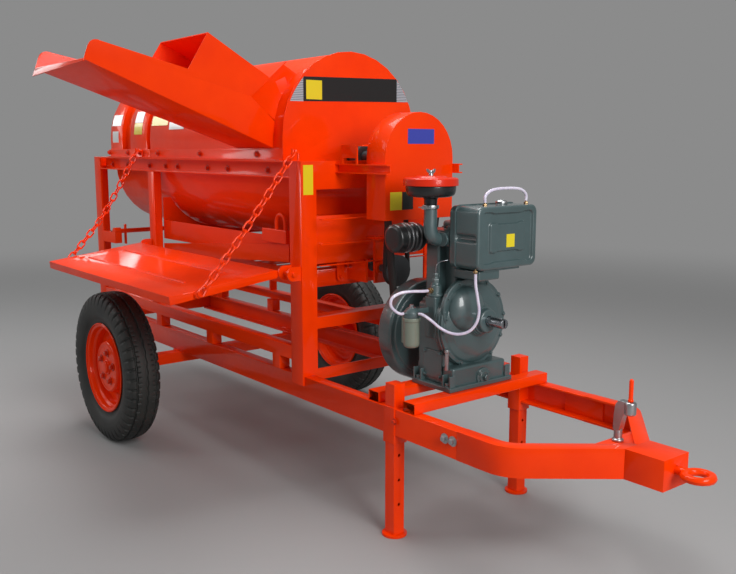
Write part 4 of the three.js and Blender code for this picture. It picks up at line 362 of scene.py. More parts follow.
def turned(profile, axis, centre, steps=96, closed=False):
    """Points and faces of a turned form: pairs of (place along the axis, radius) carried round the axis.
    A radius of nought closes to a pole, and a closed profile makes a ring."""
    along, reach = np.array(profile, float).T
    angle = full_turn(steps)[:, None]
    a, b, c = np.broadcast_to(along, (steps, len(along))), reach * np.cos(angle), reach * np.sin(angle)
    order = {"x": (a, b, c), "y": (b, a, c), "z": (b, c, a)}[axis]
    return np.stack(order, -1).reshape(-1, 3) + centre, list(grid_faces(steps, len(along), True, closed))


def prism(outline, axis, low, high):
    """Points and faces of an outline drawn across the axis and pushed along it from low to high."""
    outline = np.asarray(outline, float)
    count = len(outline)
    ends = [np.column_stack([np.full(count, place), outline]) for place in (low, high)]
    order = {"x": [0, 1, 2], "y": [1, 0, 2], "z": [1, 2, 0]}[axis]
    sides = list(grid_faces(2, count, False, True))
    return np.vstack(ends)[:, order], sides + [list(range(count)), list(range(count, 2 * count))]


def merged(*parts):
    """Several lots of points and faces as one."""
    points, faces, count = [], [], 0
    for some, these in parts:
        points.append(some)
        faces += [[int(i) + count for i in face] for face in these]
        count += len(some)
    return np.vstack(points), faces


def box(x0, x1, y0, y1, z0, z1):
    """Points and faces of a straight block."""
    return prism([(y0, z0), (y1, z0), (y1, z1), (y0, z1)], "x", x0, x1)


def bolt_heads(places, direction, across):
    """Points and faces of hexagon heads on washers: each place is where the washer meets its plate, and
    the heads stand off along the direction. The head is across millimetres over its flats."""
    corner = 3**-0.5
    washer = turned(across * np.array([(0, 0), (0, 0.95), (0.14, 0.95), (0.14, 0)]), "x", 0, 24)
    head = [(0.1, 0), (0.1, corner), (0.68, corner), (0.78, 0.47), (0.78, 0)]
    head = turned(across * np.array(head), "x", 0, 6)
    points, faces = merged(washer, head)
    along = unit(np.asarray(direction, float))
    across_one = unit(np.cross(along, [0.3, 0.2, 1] if abs(along[2]) < 0.9 else [1, 0.2, 0]))
    turn = np.stack([along, across_one, np.cross(along, across_one)])
    return merged(*[(points @ turn + place, faces) for place in places])


def side_bolts(places, across):
    """The same bolt heads on the left and the right side, looking outwards."""
    return merged(*[bolt_heads([(x, side * y, z) for x, y, z in places], (0, side, 0), across) for side in (-1, 1)])


# Bolts in the frame are zinc-plated and oversprayed, so they look a darker red than the sheet.
oversprayed = enamel("oversprayed_bolt_heads", "#d93206", "#c02804", 0.42, 0.1, 3, 0.3)
piece("sleeve_bolts", *side_bolts([(1737, 368, 452)], 13), oversprayed)


# Wheels: cross-ply trailer tyres on pressed disc rims, five studs to each hub.
# The tyre is moulded rubber with shoulder lugs, two ribs and grooves; the rim is sprayed with the frame.
def ramp(value, low, high):
    """Nought below low, one above high, and a smooth cubic between them."""
    share = np.clip((value - low) / (high - low), 0, 1)
    return share * share * (3 - 2 * share)


def notch(value, half, soft):
    """One within half of nought, falling to nought over the next soft millimetres."""
    return 1 - ramp(np.abs(value), half, half + soft)


tyre_rubber, tree = new_material("black_tyre_rubber")
end_in(tree, add_node(tree, "BsdfPrincipled", {
    "Base Color": two_tone(tree, speckle(tree, 9, 6), 0.35, 0.7, "#1d1f1e", "#2c2c29"), "Roughness": 0.62,
    "Normal": grained(tree, 700, 3, 0.15, 0.0006)}))

tyre_radius, wheel_z, half_track, lug_count, tread_depth, sipe_depth = 367.5, 367.5, 700, 46, 9, 4.5
groove_offset, zigzag_swing, lug_rake = 47, 1.6, 0.22


def tyre(side):
    """The tyre's section is a smooth curve through its bead, flank, shoulder and crown. The tread is cut into
    it square to the surface: round grooves at fixed offsets, slots between the shoulder lugs at the lug
    pitch, and short sipes across the ribs. Its points are spaced closer where the tread is."""
    half_section = np.array([
        (57.9, 203.6), (58.4, 221), (64, 238), (75, 256), (81.6, 280), (82.3, 304), (79, 326), (73.5, 344), (64, 356),
        (48, 363.5), (26, 366.8)])
    section = np.vstack([half_section, [(0, tyre_radius)], half_section[::-1] * [-1, 1]])
    line = smooth_route(np.column_stack([section, np.zeros(len(section))]), 600)[:, :2]
    run = np.cumsum(1 + 3.2 * ramp(line[:, 1], 322, 338))
    even = np.linspace(run[0], run[-1], 132)
    line = np.stack([np.interp(even, run, line[:, i]) for i in range(2)], -1)
    along = unit(np.gradient(line, axis=0))
    outward = np.stack([along[:, 1], -along[:, 0]], -1)
    outward *= np.sign(outward[len(outward) // 2, 1])
    offset, radius = line[None, :, 0], line[None, :, 1]
    angle = full_turn(600)[:, None]
    pitch = 2 * np.pi * tyre_radius / lug_count
    travel = angle * tyre_radius + np.sign(offset) * pitch / 4
    rake = travel + lug_rake * (np.abs(offset) - 50)
    slot = notch((rake % pitch) - pitch / 2, 4.2, 3.5) * ramp(np.abs(offset), 49, 53) * ramp(radius, 306, 322)
    zigzag = zigzag_swing * np.cos(2 * np.pi * travel / pitch)
    outer_groove = notch(np.abs(offset) - groove_offset - zigzag, 2.6, 2.2) * ramp(radius, 352, 358)
    groove = outer_groove + notch(offset - zigzag, 4.4, 2.2)
    sipe = notch(((travel + 7) % (pitch / 2)) - pitch / 4, 0.9, 1.4)
    sipe *= ramp(np.abs(offset), 25, 28) * notch(offset, 44, 2)
    flank = 1.6 * (1 - ramp(radius, 308, 313)) * ramp(radius, 226, 240)
    ring = 1.2 * (notch(radius - 246, 1.5, 1.5) + notch(radius - 298, 1, 1.5))
    lug = slot * (0.35 + 0.65 * ramp(radius, 322, 350))
    depth = np.maximum(tread_depth * np.maximum(lug, groove), sipe_depth * sipe) + flank - ring
    cut_offset, cut_radius = offset - outward[None, :, 0] * depth, radius - outward[None, :, 1] * depth
    across = side * (half_track + cut_offset)
    points = np.stack([cut_radius * np.cos(angle), across, wheel_z + cut_radius * np.sin(angle)], -1)
    return points.reshape(-1, 3), grid_faces(len(angle), len(line), True, True)


def filleted(profile, radius, steps=3, closed=False):
    """The profile with every corner rounded by a short quadratic curve that starts and ends the radius
    away from the corner, or less where a side is short."""
    profile = np.asarray(profile, float)
    before, after = np.roll(profile, 1, 0), np.roll(profile, -1, 0)
    back, on = before - profile, after - profile
    reach = np.minimum(radius, 0.45 * np.minimum(np.linalg.norm(back, axis=1), np.linalg.norm(on, axis=1)))[:, None]
    back, on = unit(back), unit(on)
    share = np.linspace(0, 1, steps + 1)[None, :, None]
    start, end, middle = (profile + back * reach)[:, None], (profile + on * reach)[:, None], profile[:, None]
    curve = (1 - share) ** 2 * start + 2 * share * (1 - share) * middle + share**2 * end
    if closed:
        return curve.reshape(-1, 2)
    return np.vstack([profile[:1], curve[1:-1].reshape(-1, 2), profile[-1:]])


def lathed(profile, soft, axis, centre, steps=96, curve=3):
    """A solid turned form: the profile is closed to the axis at both ends, and its corners are rounded."""
    return turned(filleted([(profile[0][0], 0), *profile, (profile[-1][0], 0)], soft, curve), axis, centre, steps)


def banded(line, thickness):
    """A closed section of sheet: the line moved by half the thickness to both sides."""
    line = np.asarray(line, float)
    along = unit(np.gradient(line, axis=0))
    across = np.stack([-along[:, 1], along[:, 0]], -1) * thickness / 2
    return np.vstack([line + across, (line - across)[::-1]])


def metal(name, colour, scale, detail, low, high):
    """Bare or plated metal, whose roughness runs from low to high in fine marks."""
    material, tree = new_material(name)
    gloss = add_node(tree, "MapRange", {"Value": speckle(tree, scale, detail), "To Min": low, "To Max": high})
    end_in(tree, add_node(tree, "BsdfPrincipled", {"Base Color": linear(colour), "Metallic": 1.0, "Roughness": gloss}))
    return material


zinc_steel = metal("zinc_plated_steel", "#b4b6b8", 160, 4, 0.25, 0.42)


def wheel(side, name):
    """Rim barrel, dished disc, hub and cap as turned sections, with the studs on their circle."""
    centre, flip = [0, side * half_track, wheel_z], np.array([side, 1])
    stud_circle, disc_face, valve_radius = 72, 44.5, 176
    barrel = banded(filleted([
        (66.5, 214), (65, 218), (61, 217.5), (60, 202), (38, 199), (30, 188), (-30, 188), (-38, 199), (-60, 202),
        (-61, 217.5), (-65, 218), (-66.5, 214)], 5, 4), 4.5)
    disc = banded(filleted([
        (42, 34), (42, 104), (46, 112), (42, 122), (4, 134), (0, 142), (3, 158), (0, 174), (0, 186)], 7, 4), 5)
    hub = filleted([(42, 44), (-58, 52), (-58, 23), (42, 23)], 3, 3, True)
    cap = filleted([(42, 0), (42, 37), (49, 37), (49, 32), (58, 31), (62, 25), (62, 0)], 2.5)
    parts = [turned(barrel * flip, "y", centre, 120, True), turned(disc * flip, "y", centre, 120, True),
             turned(hub * flip, "y", centre, 72, True), turned(cap * flip, "y", centre, 72)]
    piece(f"rim_{name}", *merged(*parts), orange, f"wheel_{name}_body", f"wheel_{name}")
    studs = np.insert(arc(0, wheel_z, stud_circle, full_turn(5, 0.15)), 1, side * (half_track + disc_face), 1)
    piece(f"wheel_nuts_{name}", *bolt_heads(studs, (0, side, 0), 21), oversprayed, f"wheel_{name}_body")
    stem = lathed([(0, 5), (16, 4), (24, 3.6)], 1, "y", 0, 16)
    valve = stem[0] * [1, side, 1] + centre + [0, side * 2, valve_radius]
    piece(f"tyre_valve_{name}", valve, stem[1], tyre_rubber, f"wheel_{name}_body")
    piece(f"tyre_tread_{name}", *tyre(side), tyre_rubber, f"wheel_{name}_body", f"tyre_{name}", sharp=60)


wheel(-1, "right")
wheel(1, "left")


# Drawbar: bent channel arms that run in to a box nose, with the tow eye screwed through it.
# The arms are bolted inside the beams at a seam, and all is sprayed with the chassis.
for node in ("drawbar_arm_right", "drawbar_arm_left", "drawbar_nose", "tow_eye"):
    eased(node, orange, 2.4)
piece("drawbar_bolts", *side_bolts([(1994, 362.2, 457), (2033, 362.2, 457)], 19), zinc_steel)

# Drawbar handle: a clamp of zinc-plated steel that turns on a peg, with a painted grip on its pin.
# It is cast and machined, and it stands up from the plate between the arms.
hub = turned(filleted([(487.8, 0), (487.8, 19), (495, 19), (498, 14), (538, 13), (540, 0)], 2), "z", [2425, 0, 0], 48)
lever = prism([(2413, 528), (2437, 528), (2446, 572), (2454, 588), (2470, 588), (2470, 626), (2430, 627),
               (2419, 612), (2414, 575)], "y", -13, 13)
eye = lathed([(584, 16), (588, 19), (624, 19), (628, 15)], 2, "z", [2467, 0, 0], 48)
rounded(piece("handle_clamp", *merged(hub, lever, eye), zinc_steel, "handle_body", "start_handle"), 4, 3)
piece("handle_stick", *lathed([(628.6, 9), (634, 9), (638, 7), (698, 7), (703, 4)], 2, "z", [2467, 0, 0], 40),
      orange, "grip_body", "handle_grip")

# Thresher frame: angle posts, channel rails and cross bars, welded up from rolled steel.
# The rails carry the drum's covers on bolted strips, the hooks on top hold the chains, and the platform turns
# on a pin in the front lug.
for node in ("frame_front", "frame_middle", "frame_rear", "lower_rail_right", "lower_rail_left"):
    eased(node, orange, 2.0)
pivot_y, pivot_z, lug_radius = -405, 925, 29
lug_round = arc(pivot_y, pivot_z, lug_radius, np.linspace(-np.pi / 2, -1.5 * np.pi, 24))
lug = prism(np.vstack([[(-354, 954), (-354, 896)], lug_round]), "x", 1138, 1147)
lug_pin = lathed([(1084, 8), (1147, 8), (1147, 14), (1150, 14), (1150, 10.5), (1158, 10.5)], 1, "x",
                 [0, pivot_y, pivot_z], 32)
rounded(piece("tray_lug", *merged(lug, lug_pin), orange), 1.2)
piece("rail_bolts", *side_bolts([(x, 330.4, 1335) for x in (-820, -610, -327, -135, 0, 314, 505, 848)], 16),
      oversprayed)

# Drum and blower covers: rolled sheet over the drum, with narrower rings behind it for the two blowers.
# Each is bolted down by a strip along both rails. Flat plates close the drum cover: a whole one in front, and
# an arched one behind, round the first ring.
for node in ("drum_cover", "drum_front_plate", "fan_cover", "lower_casing"):
    eased(node, orange)
cover_z, arch_z, turn = 1377, 1478, np.linspace(np.pi, 0, 97)
outer, inner = [np.vstack([[(-r, cover_z)], arc(0, arch_z, r, turn), [(r, cover_z)]]) for r in (346, 324.6)]
piece("cover_end_plate", *prism(np.vstack([outer, inner[::-1]]), "x", -269.6, -266), orange)
piece("strip_bolts", *side_bolts([(x, 355.4, 1402) for x in (-799, -548, -391, -171, 286, 802)], 16), oversprayed)

# Drum: the shaft with its discs, spiked beaters and blower blades, in its two plummer blocks.
# The rotor is welded steel and the blocks are cast, all left in a dark grey primer.
cast_iron = enamel("dark_cast_iron", "#4d5154", "#3d4042", 0.5, 0.0, 1.5)
for node in ("rotor", "drum_pulley", "bearing_front", "bearing_rear", "concave"):
    eased(node, cast_iron)

# Feed chute: a flared trough of folded sheet, with a hood near the drum and a turned-down lip.
# It is welded to the drum cover at its throat and sprayed with it.
eased("feed_chute", orange)

# Grain side: the hopper under the drum, the sieve box on four swinging hangers and the counter shaft.
# They are folded from sheet and sprayed. The hopper's pans, its block with a bent eye and the rims across its
# front are welded on.
for node in ("grain_hopper", "sieve_box", "hanger_front_right", "hanger_front_left", "hanger_rear_right",
             "hanger_rear_left"):
    eased(node, orange)
eased("counter_shaft", cast_iron)
for side, name in ((-1, "right"), (1, "left")):
    pan = prism([(-193, 872), (1000, 954), (1000, 1031), (-193, 933)], "y", side * 325.5, side * 329)
    piece(f"hopper_pan_{name}", *pan, orange)
rims = [box(1209, 1209 + out, -323, 323, z - 2, z + 2) for out, z in ((26, 1146), (20, 1046), (14, 960))]
rounded(piece("hopper_rims", *merged(*rims), orange), 1.2)
rounded(piece("hopper_block", *box(818, 1008, -349, -325, 1030, 1088), orange), 3)
eye_x, eye_y, eye_radius = 958, -340, 34
bow = np.insert(arc(eye_x, 1118, eye_radius, np.linspace(0, np.pi, 24)), 1, eye_y, 1)
eye_line = np.vstack([[(eye_x + eye_radius, eye_y, 1080)], bow, [(eye_x - eye_radius, eye_y, 1080)]])
piece("hopper_eye", *tube(smooth_route(eye_line, 60), 8, 16), orange)

# Belt drive: flat rubber belts from the engine's pulley to the drum's and on to the counter shaft, the first
# under an arched guard of folded sheet. The guard hangs from a channel bracket on the front frame.
belt_rubber, tree = new_material("black_belt_rubber")
end_in(tree, add_node(tree, "BsdfPrincipled", {
    "Base Color": linear("#232322"), "Roughness": 0.7, "Normal": grained(tree, 900, 2, 0.2, 0.0005)}))
for node in ("drive_belt", "counter_belt"):
    eased(node, belt_rubber, 0.8)
for node in ("belt_guard", "guard_bracket"):
    eased(node, orange)


# Plates: printed plastic foil, stuck on the covers, the guard, the post and the tank, and left bare here. The
# long one across the front plate is black with ruled grey ends, and it sits slightly askew.
def foil(name, colour, line=None):
    """Printed plastic foil with a light gloss. A line colour rules it level, one line each 7 mm."""
    material, tree = new_material(name)
    ground = {"Base Color": linear(colour), "Roughness": 0.32, "Coat Weight": 0.3}
    if line:
        where = add_node(tree, "TexCoord").outputs["Object"]
        rule = add_node(tree, "TexWave", {"Vector": where, "Scale": 2 * np.pi / 20 / 0.007}, bands_direction="Z")
        ground["Base Color"] = two_tone(tree, rule.outputs["Fac"], 0.4, 0.6, colour, line)
    end_in(tree, add_node(tree, "BsdfPrincipled", ground))
    return material


black_foil, grey_foil = foil("black_foil", "#1c1a1a"), foil("ruled_grey_foil", "#70767d", "#b9bfc6")
yellow_foil, blue_foil = foil("yellow_foil", "#e3cf21"), foil("blue_foil", "#3a43a6")
white_foil = foil("white_foil", "#dfe3e2")


def front_foil(name, x, y0, y1, z0, z1, material):
    """A flat foil on a face that looks forward."""
    piece(name, *box(x + 0.1, x + 0.7, y0, y1, z0, z1), material)


plate_x, plate_radius, cover_radius, band_tilt, band_drop = 1006.3, 356, 350, 0.022, 5.5
heights = np.linspace(1630, 1730, 24)
reach = np.sqrt(plate_radius**2 - np.maximum(heights - arch_z, 0) ** 2) - 4
for name, widest, lift, material in (("band_black", 252, 0.4, black_foil), ("band_grey", 400, 0.1, grey_foil)):
    half = np.minimum(reach, widest)
    edges = np.vstack([np.column_stack([half, heights]), np.column_stack([-half, heights])[::-1]])
    outline = np.column_stack([edges[:, 0], edges[:, 1] - band_drop + band_tilt * edges[:, 0]])
    piece(f"front_{name}", *prism(outline, "x", plate_x + lift, plate_x + lift + 0.4), material)
front_foil("band_yellow", plate_x + 0.8, -238, -158, 1628, 1706, yellow_foil)
front_foil("guard_blue", 1450, -65, 73, 1444, 1502, blue_foil)
front_foil("guard_yellow", 1450, -154, -94, 1188, 1258, yellow_foil)
front_foil("guard_black", 1450, -92, -36, 1188, 1258, black_foil)
front_foil("post_yellow", 1155, -359, -311, 1242, 1361, yellow_foil)


def curved_foil(name, x0, x1, low, high, material):
    """A foil on the right side of an arched cover, between two heights above the arch's centre: each height
    over the radius is the sine of its angle."""
    angle = np.linspace(math.asin(low / cover_radius), math.asin(high / cover_radius), 16)
    line = np.stack([-(cover_radius + 0.4) * np.cos(angle), arch_z + (cover_radius + 0.4) * np.sin(angle)], -1)
    piece(name, *prism(banded(line, 0.5), "x", x0, x1), material, sharp=50)


# The foil called ring_blue is white.
curved_foil("ring_white", -775, -655, 70, 130, white_foil)
curved_foil("ring_blue", -760, -680, -30, 40, white_foil)
curved_foil("ring_yellow", -470, -370, 20, 80, yellow_foil)
curved_foil("ring_pale", -470, -370, 82, 140, white_foil)
curved_foil("cover_yellow", -255, -70, 62, 110, yellow_foil)
curved_foil("cover_white", -50, 110, 40, 80, white_foil)

# Side platform: a folded steel tray with two pressed beads, on pins in the frame's lugs.
# It slopes down to its outer edge, and it is sprayed with the frame.
bead_points, tray_slope = 120, math.tan(math.radians(7.3))
eased("platform", orange, 1.6)
for name, y, end in (("outer", -744, 1000), ("inner", -583, 1012)):
    bend = [(-150, y, 0), (-60, y, 0), (300, y, 0), (end - 120, y, 0), (end - 40, y + 8, 0), (end, y + 34, 0)]
    line = smooth_route(bend, bead_points)
    line[:, 2] = pivot_z + tray_slope * (line[:, 1] - pivot_y) - 1
    fade = np.minimum(1, np.minimum(np.arange(bead_points), np.arange(bead_points)[::-1]) / 12)
    piece(f"tray_bead_{name}", *tube(line, 1 + 5 * fade, 16), orange, "platform_body")

# Chains: welded oval links of round wire, each turned a quarter from the last, painted with the frame.
# They hang from the frame's hooks to the bosses at the platform's corners.
chain_wire, link_width, link_count = 8, 34, 18


def chain(name, body, top, low, sag):
    """Links along a hanging route. Each link's centre line is a stadium: two half circles joined by straights,
    longer than the pitch so that neighbours hook into each other."""
    top, low = np.array([top, low], float)
    middle = (top + low) / 2 + [0, -sag / 6, -sag]
    route = smooth_route([top, middle, low], 400)
    course = np.gradient(route, axis=0)
    pitch, half = np.linalg.norm(np.diff(route, axis=0), axis=1).sum() / link_count, (link_width - chain_wire) / 2
    run = pitch / 2 + 0.42 * chain_wire - half
    angle = full_turn(28, 0.5)
    stadium = arc(0, np.sign(np.sin(angle)) * run, half, angle)
    parts = []
    for i in range(link_count):
        share = int((i + 0.5) / link_count * (len(route) - 1))
        along = unit(course[share])
        across = unit(np.array([1.0, 0, 0]) - along * along[0])
        side = across if i % 2 == 0 else np.cross(across, along)
        parts.append(tube(route[share] + stadium[:, :1] * side + stadium[:, 1:] * along, chain_wire / 2, 10, True))
    piece(f"{name}_links", *merged(*parts), orange, body, name)


chain("chain_front", "chain_front_body", (1133, -381.3, 1416.95), (1100.6, -801.8, 874.2), 18)
chain("chain_rear", "chain_rear_body", (-358, -381.3, 1416.95), (-280.6, -801.8, 874.2), 60)

# Engine case: a grey iron casting with a round front, a square sump and a bolted foot. A door, a drain plug
# and a dipstick are fitted to it. Castings and bolts alike are sprayed in grey-green enamel.
green = enamel("grey_green_engine_enamel", "#43585a", "#364a4b", 0.4, 0.7, 3, 0.8)
engine = np.array([engine_x, 0, crank_z])


def bolt_circle(x, y, z, radius, count, turn=0.0):
    """Places spaced evenly round a circle that looks forward, given in the engine's millimetres."""
    return np.insert(arc(y, z, radius, full_turn(count) + turn), 0, x, 1) + engine


def engine_block(x0, x1, y0, y1, z0, z1):
    """A straight block given in the engine's millimetres."""
    return box(x0 + engine_x, x1 + engine_x, y0, y1, z0 + crank_z, z1 + crank_z)


def casting(name, x0, x1, y0, y1, z0, z1, width, segments=2, replaces=""):
    """A block of cast iron given in the engine's millimetres, its edges rounded by the width."""
    rounded(piece(name, *engine_block(x0, x1, y0, y1, z0, z1), green, replaces=replaces), width, segments)


casting("crankcase_body", -105, 34, -140, 140, -160, 150, 16, 5, "crankcase")
casting("crankcase_deck", -110, 20, -112, 112, 140, 157, 5, 3)
piece("crankcase_flange", *lathed([(16, 164), (22, 171), (29, 171), (30, 168), (32, 168), (33, 171), (45, 171)],
                                  2, "x", engine + [0, 0, 70], 160), green)
casting("crankcase_sump", -106, 92, -138, 142, -166, -84, 9, 4)
casting("crankcase_foot", -107, 107, -166, 166, -169.1, -151, 4, 3)
foot_ribs = merged(*[engine_block(x - 4, x + 4, y - 13.5, y + 13.5, -160, -108)
                     for x in (-101, -63, 59, 97) for y in (-147.5, 147.5)])
rounded(piece("crankcase_ribs", *foot_ribs, green), 2.5, 2)
casting("crankcase_door", -62, 36, -145.5, -139, -134, -28, 2.5)
casting("pump_pad", -36, 22, -167, -96, 20, 180, 7, 3)
foot_bolts = [engine + [x, side * 151, -151] for x in (-82, 78) for side in (-1, 1)]
door_bolts = [engine + [x, -145.5, z] for x in (-54, 28) for z in (-126, -36)]
piece("crankcase_bolts", *merged(bolt_heads(foot_bolts, (0, 0, 1), 19), bolt_heads(door_bolts, (0, -1, 0), 10)),
      green)
piece("drain_cover", *lathed([(91, 35), (97, 35), (99, 31), (99, 26), (104, 24), (105, 17), (101, 15)], 1.5,
                             "x", engine + [0, 20, -136], 64), green)
drain_plug = bolt_heads([engine + [100, 20, -136]], (1, 0, 0), 22)
drain_studs = bolt_heads(bolt_circle(98, 20, -136, 29, 3, 0.5), (1, 0, 0), 8)
piece("drain_plug", *merged(drain_plug, drain_studs), green)
piece("dipstick_tube", *turned(filleted([
    (-92, 0), (-92, 7.5), (-26, 7.5), (-24, 9.5), (-14, 9.5), (-12, 0)], 1.5), "z", engine + [66, -146, 0], 32),
    zinc_steel)

# Gear cover: a round iron cover with a bolted bearing dome at its right and a stepped boss round the
# starting shaft, whose end is slotted for the handle.
piece("gear_cover_face", *turned(filleted([
    (45.3, 0), (45.3, 168), (56, 168), (58, 165), (58, 154), (64, 147), (71, 124), (75, 66), (76, 0)], 3, 5), "x",
    engine + [0, 0, 70], 160), green, replaces="gear_cover", sharp=40)
rise = np.linspace(0, np.pi / 2, 24)
bulge = np.column_stack([62 + 50 * np.sin(rise), 86 * np.cos(rise)])
dome = turned(np.vstack([[(45.3, 0), (45.3, 111), (60, 111), (63, 108), (63, 90), (62, 88)], bulge]), "x",
              engine + [0, -50, 130], 128)
piece("gear_cover_dome", *dome, green, sharp=40)
piece("gear_cover_boss", *turned(filleted([
    (60, 0), (60, 70), (76, 68), (79, 63), (86, 62), (88, 58), (95, 57), (97, 53), (104, 52), (106, 47), (124, 45),
    (128, 41), (128, 19.5), (60, 19.5)], 1.8, 3, True), "x", engine + [0, 10, 85], 96, True), green, sharp=40)
dome_bolts, rim_bolts = bolt_circle(63, -50, 130, 100, 8, 0.3), bolt_circle(57.8, 0, 70, 160, 12, 0.1)
rim_bolts = rim_bolts[np.hypot(rim_bolts[:, 1] + 50, rim_bolts[:, 2] - crank_z - 130) > 118]
piece("gear_cover_bolts", *merged(bolt_heads(dome_bolts, (1, 0, 0), 9), bolt_heads(rim_bolts, (1, 0, 0), 11)),
      green)
steel = metal("machined_steel", "#9fa3a8", 420, 3, 0.18, 0.34)
eased("start_shaft", steel, 1.5)

# Cylinder: an upright water-jacketed block under its head, studded down, with the rocker cover on top, the
# inlet elbow on the right side and a folded shelf that carries the tank.
jacket = merged(engine_block(-105, -34, -100, 100, 150, 366), engine_block(-60, 24, -62, 62, 150, 366))
rounded(piece("cylinder_jacket", *jacket, green, replaces="cylinder_block"), 8, 4)
casting("cylinder_head", -113, 26, -106, 106, 368, 423, 6, 3)
piece("head_gasket", *engine_block(-108, 22, -102, 102, 364, 370), zinc_steel)
casting("rocker_cover", -82, 15, -40, 80, 420, 452, 13, 4)
piece("head_nuts", *bolt_heads([engine + [x, y, 423] for x in (-98, 10) for y in (-90, 0, 90)], (0, 0, 1), 19), green)
elbow_line = smooth_route([
    (-25, -152, 512), (-25, -152, 470), (-25, -152, 432), (-25, -145, 405), (-25, -126, 391), (-25, -104, 389)],
    40) + engine
piece("inlet_elbow", *tube(elbow_line, np.interp(np.arange(40), [0, 12, 39], [24, 25, 27]), 40), green)
inlet_flange = prism(filleted([(-42, -26), (42, -26), (58, 0), (42, 26), (-42, 26), (-58, 0)], 16, 4, True), "y",
                     -118, -106)
inlet_flange[0][:, 0] += engine_x - 25
inlet_flange[0][:, 2] += crank_z + 389
rounded(piece("inlet_flange", *inlet_flange, green), 2)
shelf = prism(filleted([(22, -78), (165, -61), (165, 132), (22, 81)], 10, 3, True), "z", 279, 287.5)
rounded(piece("tank_shelf", *(shelf[0] + engine, shelf[1]), green), 1.5)
casting("tank_support", 28, 162, -84, 26, 246, 284, 8, 3)
strut = prism([(-30, 0), (96, 0), (96, -14), (40, -52), (-30, -52)], "y", -30, 30)
rounded(piece("tank_bracket", *(strut[0] + engine + [0, 0, 279.5], strut[1]), green), 3)

# Flywheel: a heavy iron rim on a web and hub, cast, turned and keyed to the crankshaft, with the flanged belt
# pulley bolted to its rear face. Both are sprayed with the engine.
wheel_form = lathed([
    (-268, 46), (-242, 52), (-242, 160), (-266, 168), (-268, 200), (-262, 205), (-200, 205), (-194, 199), (-194, 184),
    (-198, 182), (-198, 176), (-194, 174), (-196, 60), (-186, 52), (-186, 22), (-52, 22)], 3, "x", engine, 128)
pulley_form = lathed([
    (-323, 84), (-318, 84), (-318, 75), (-282, 75), (-282, 84), (-277, 84), (-277, 48), (-262, 48)], 1.5, "x", engine)
piece("flywheel_turned", *merged(wheel_form, pulley_form), green, "crank_body", "flywheel")

# Injection pump: a body on its flange with a hexagon delivery valve, all under the engine's enamel, and the
# thin high-pressure pipe of bare steel that arches to the injector in the head.
pump = engine + [-7, -138, 0]
pump_body = lathed([(178, 27), (190, 27), (192, 22), (218, 22), (222, 17), (229, 17)], 1.5, "z", pump, 48)
valve_holder = lathed([(228, 16), (243, 16), (246, 10), (254, 10), (256, 11.5), (264, 11.5)], 1, "z", pump, 6, 2)
pump_flange = lathed([(180, 33), (187, 33)], 1, "z", pump, 48)
piece("injection_pump_body", *merged(pump_body, pump_flange), green, replaces="injection_pump")
piece("delivery_valve", *valve_holder, green)
pipe_line = smooth_route([
    (-7, -138, 262), (-7, -138, 280), (-4, -136, 295), (4, -129, 306), (15, -117, 311), (25, -99, 315), (26, -86, 330),
    (14, -90, 372)], 60) + engine
piece("injector_pipe", *tube(pipe_line, 2.2, 12), steel)

# Fuel unions: turned brass tails with hexagon nuts that the hoses are pushed over.
# They are screwed into the tank, and a banjo with its bolt into the pump.
brass = metal("turned_brass", "#a58a66", 380, 3, 0.22, 0.4)
tail_radius, nut_radius, parts = 4.4, 9, []
for x, y, low, high, nut_low, nut_high in ((158.2, -97.55, 275.7, 292, 279, 287), (140, -38.06, 510, 528.3, 516, 523),
                                           (140, 181.9, 510, 528.3, 516, 523)):
    parts += [lathed([(low, tail_radius), (high, tail_radius)], 0.8, "z", engine + [x, y, 0], 20),
              lathed([(nut_low, nut_radius), (nut_high, nut_radius)], 0.8, "z", engine + [x, y, 0], 6)]
piece("fuel_tails", *merged(*parts), brass)
union = engine + [-7, 0, 201.3]
piece("pump_banjo", *merged(lathed([(-177, tail_radius), (-158, tail_radius)], 0.8, "y", union, 20),
                            lathed([(-170, 11), (-158, 11)], 1, "y", union, 6)), brass)

# Fuel tank: two pressed steel shells welded at a standing seam, with two frames pressed into the front
# face and a waist across the right side. The filler neck is brazed into the top.
tank_low, tank_high = np.array([32, -112, 288.0]), np.array([182, 200, 516.0])


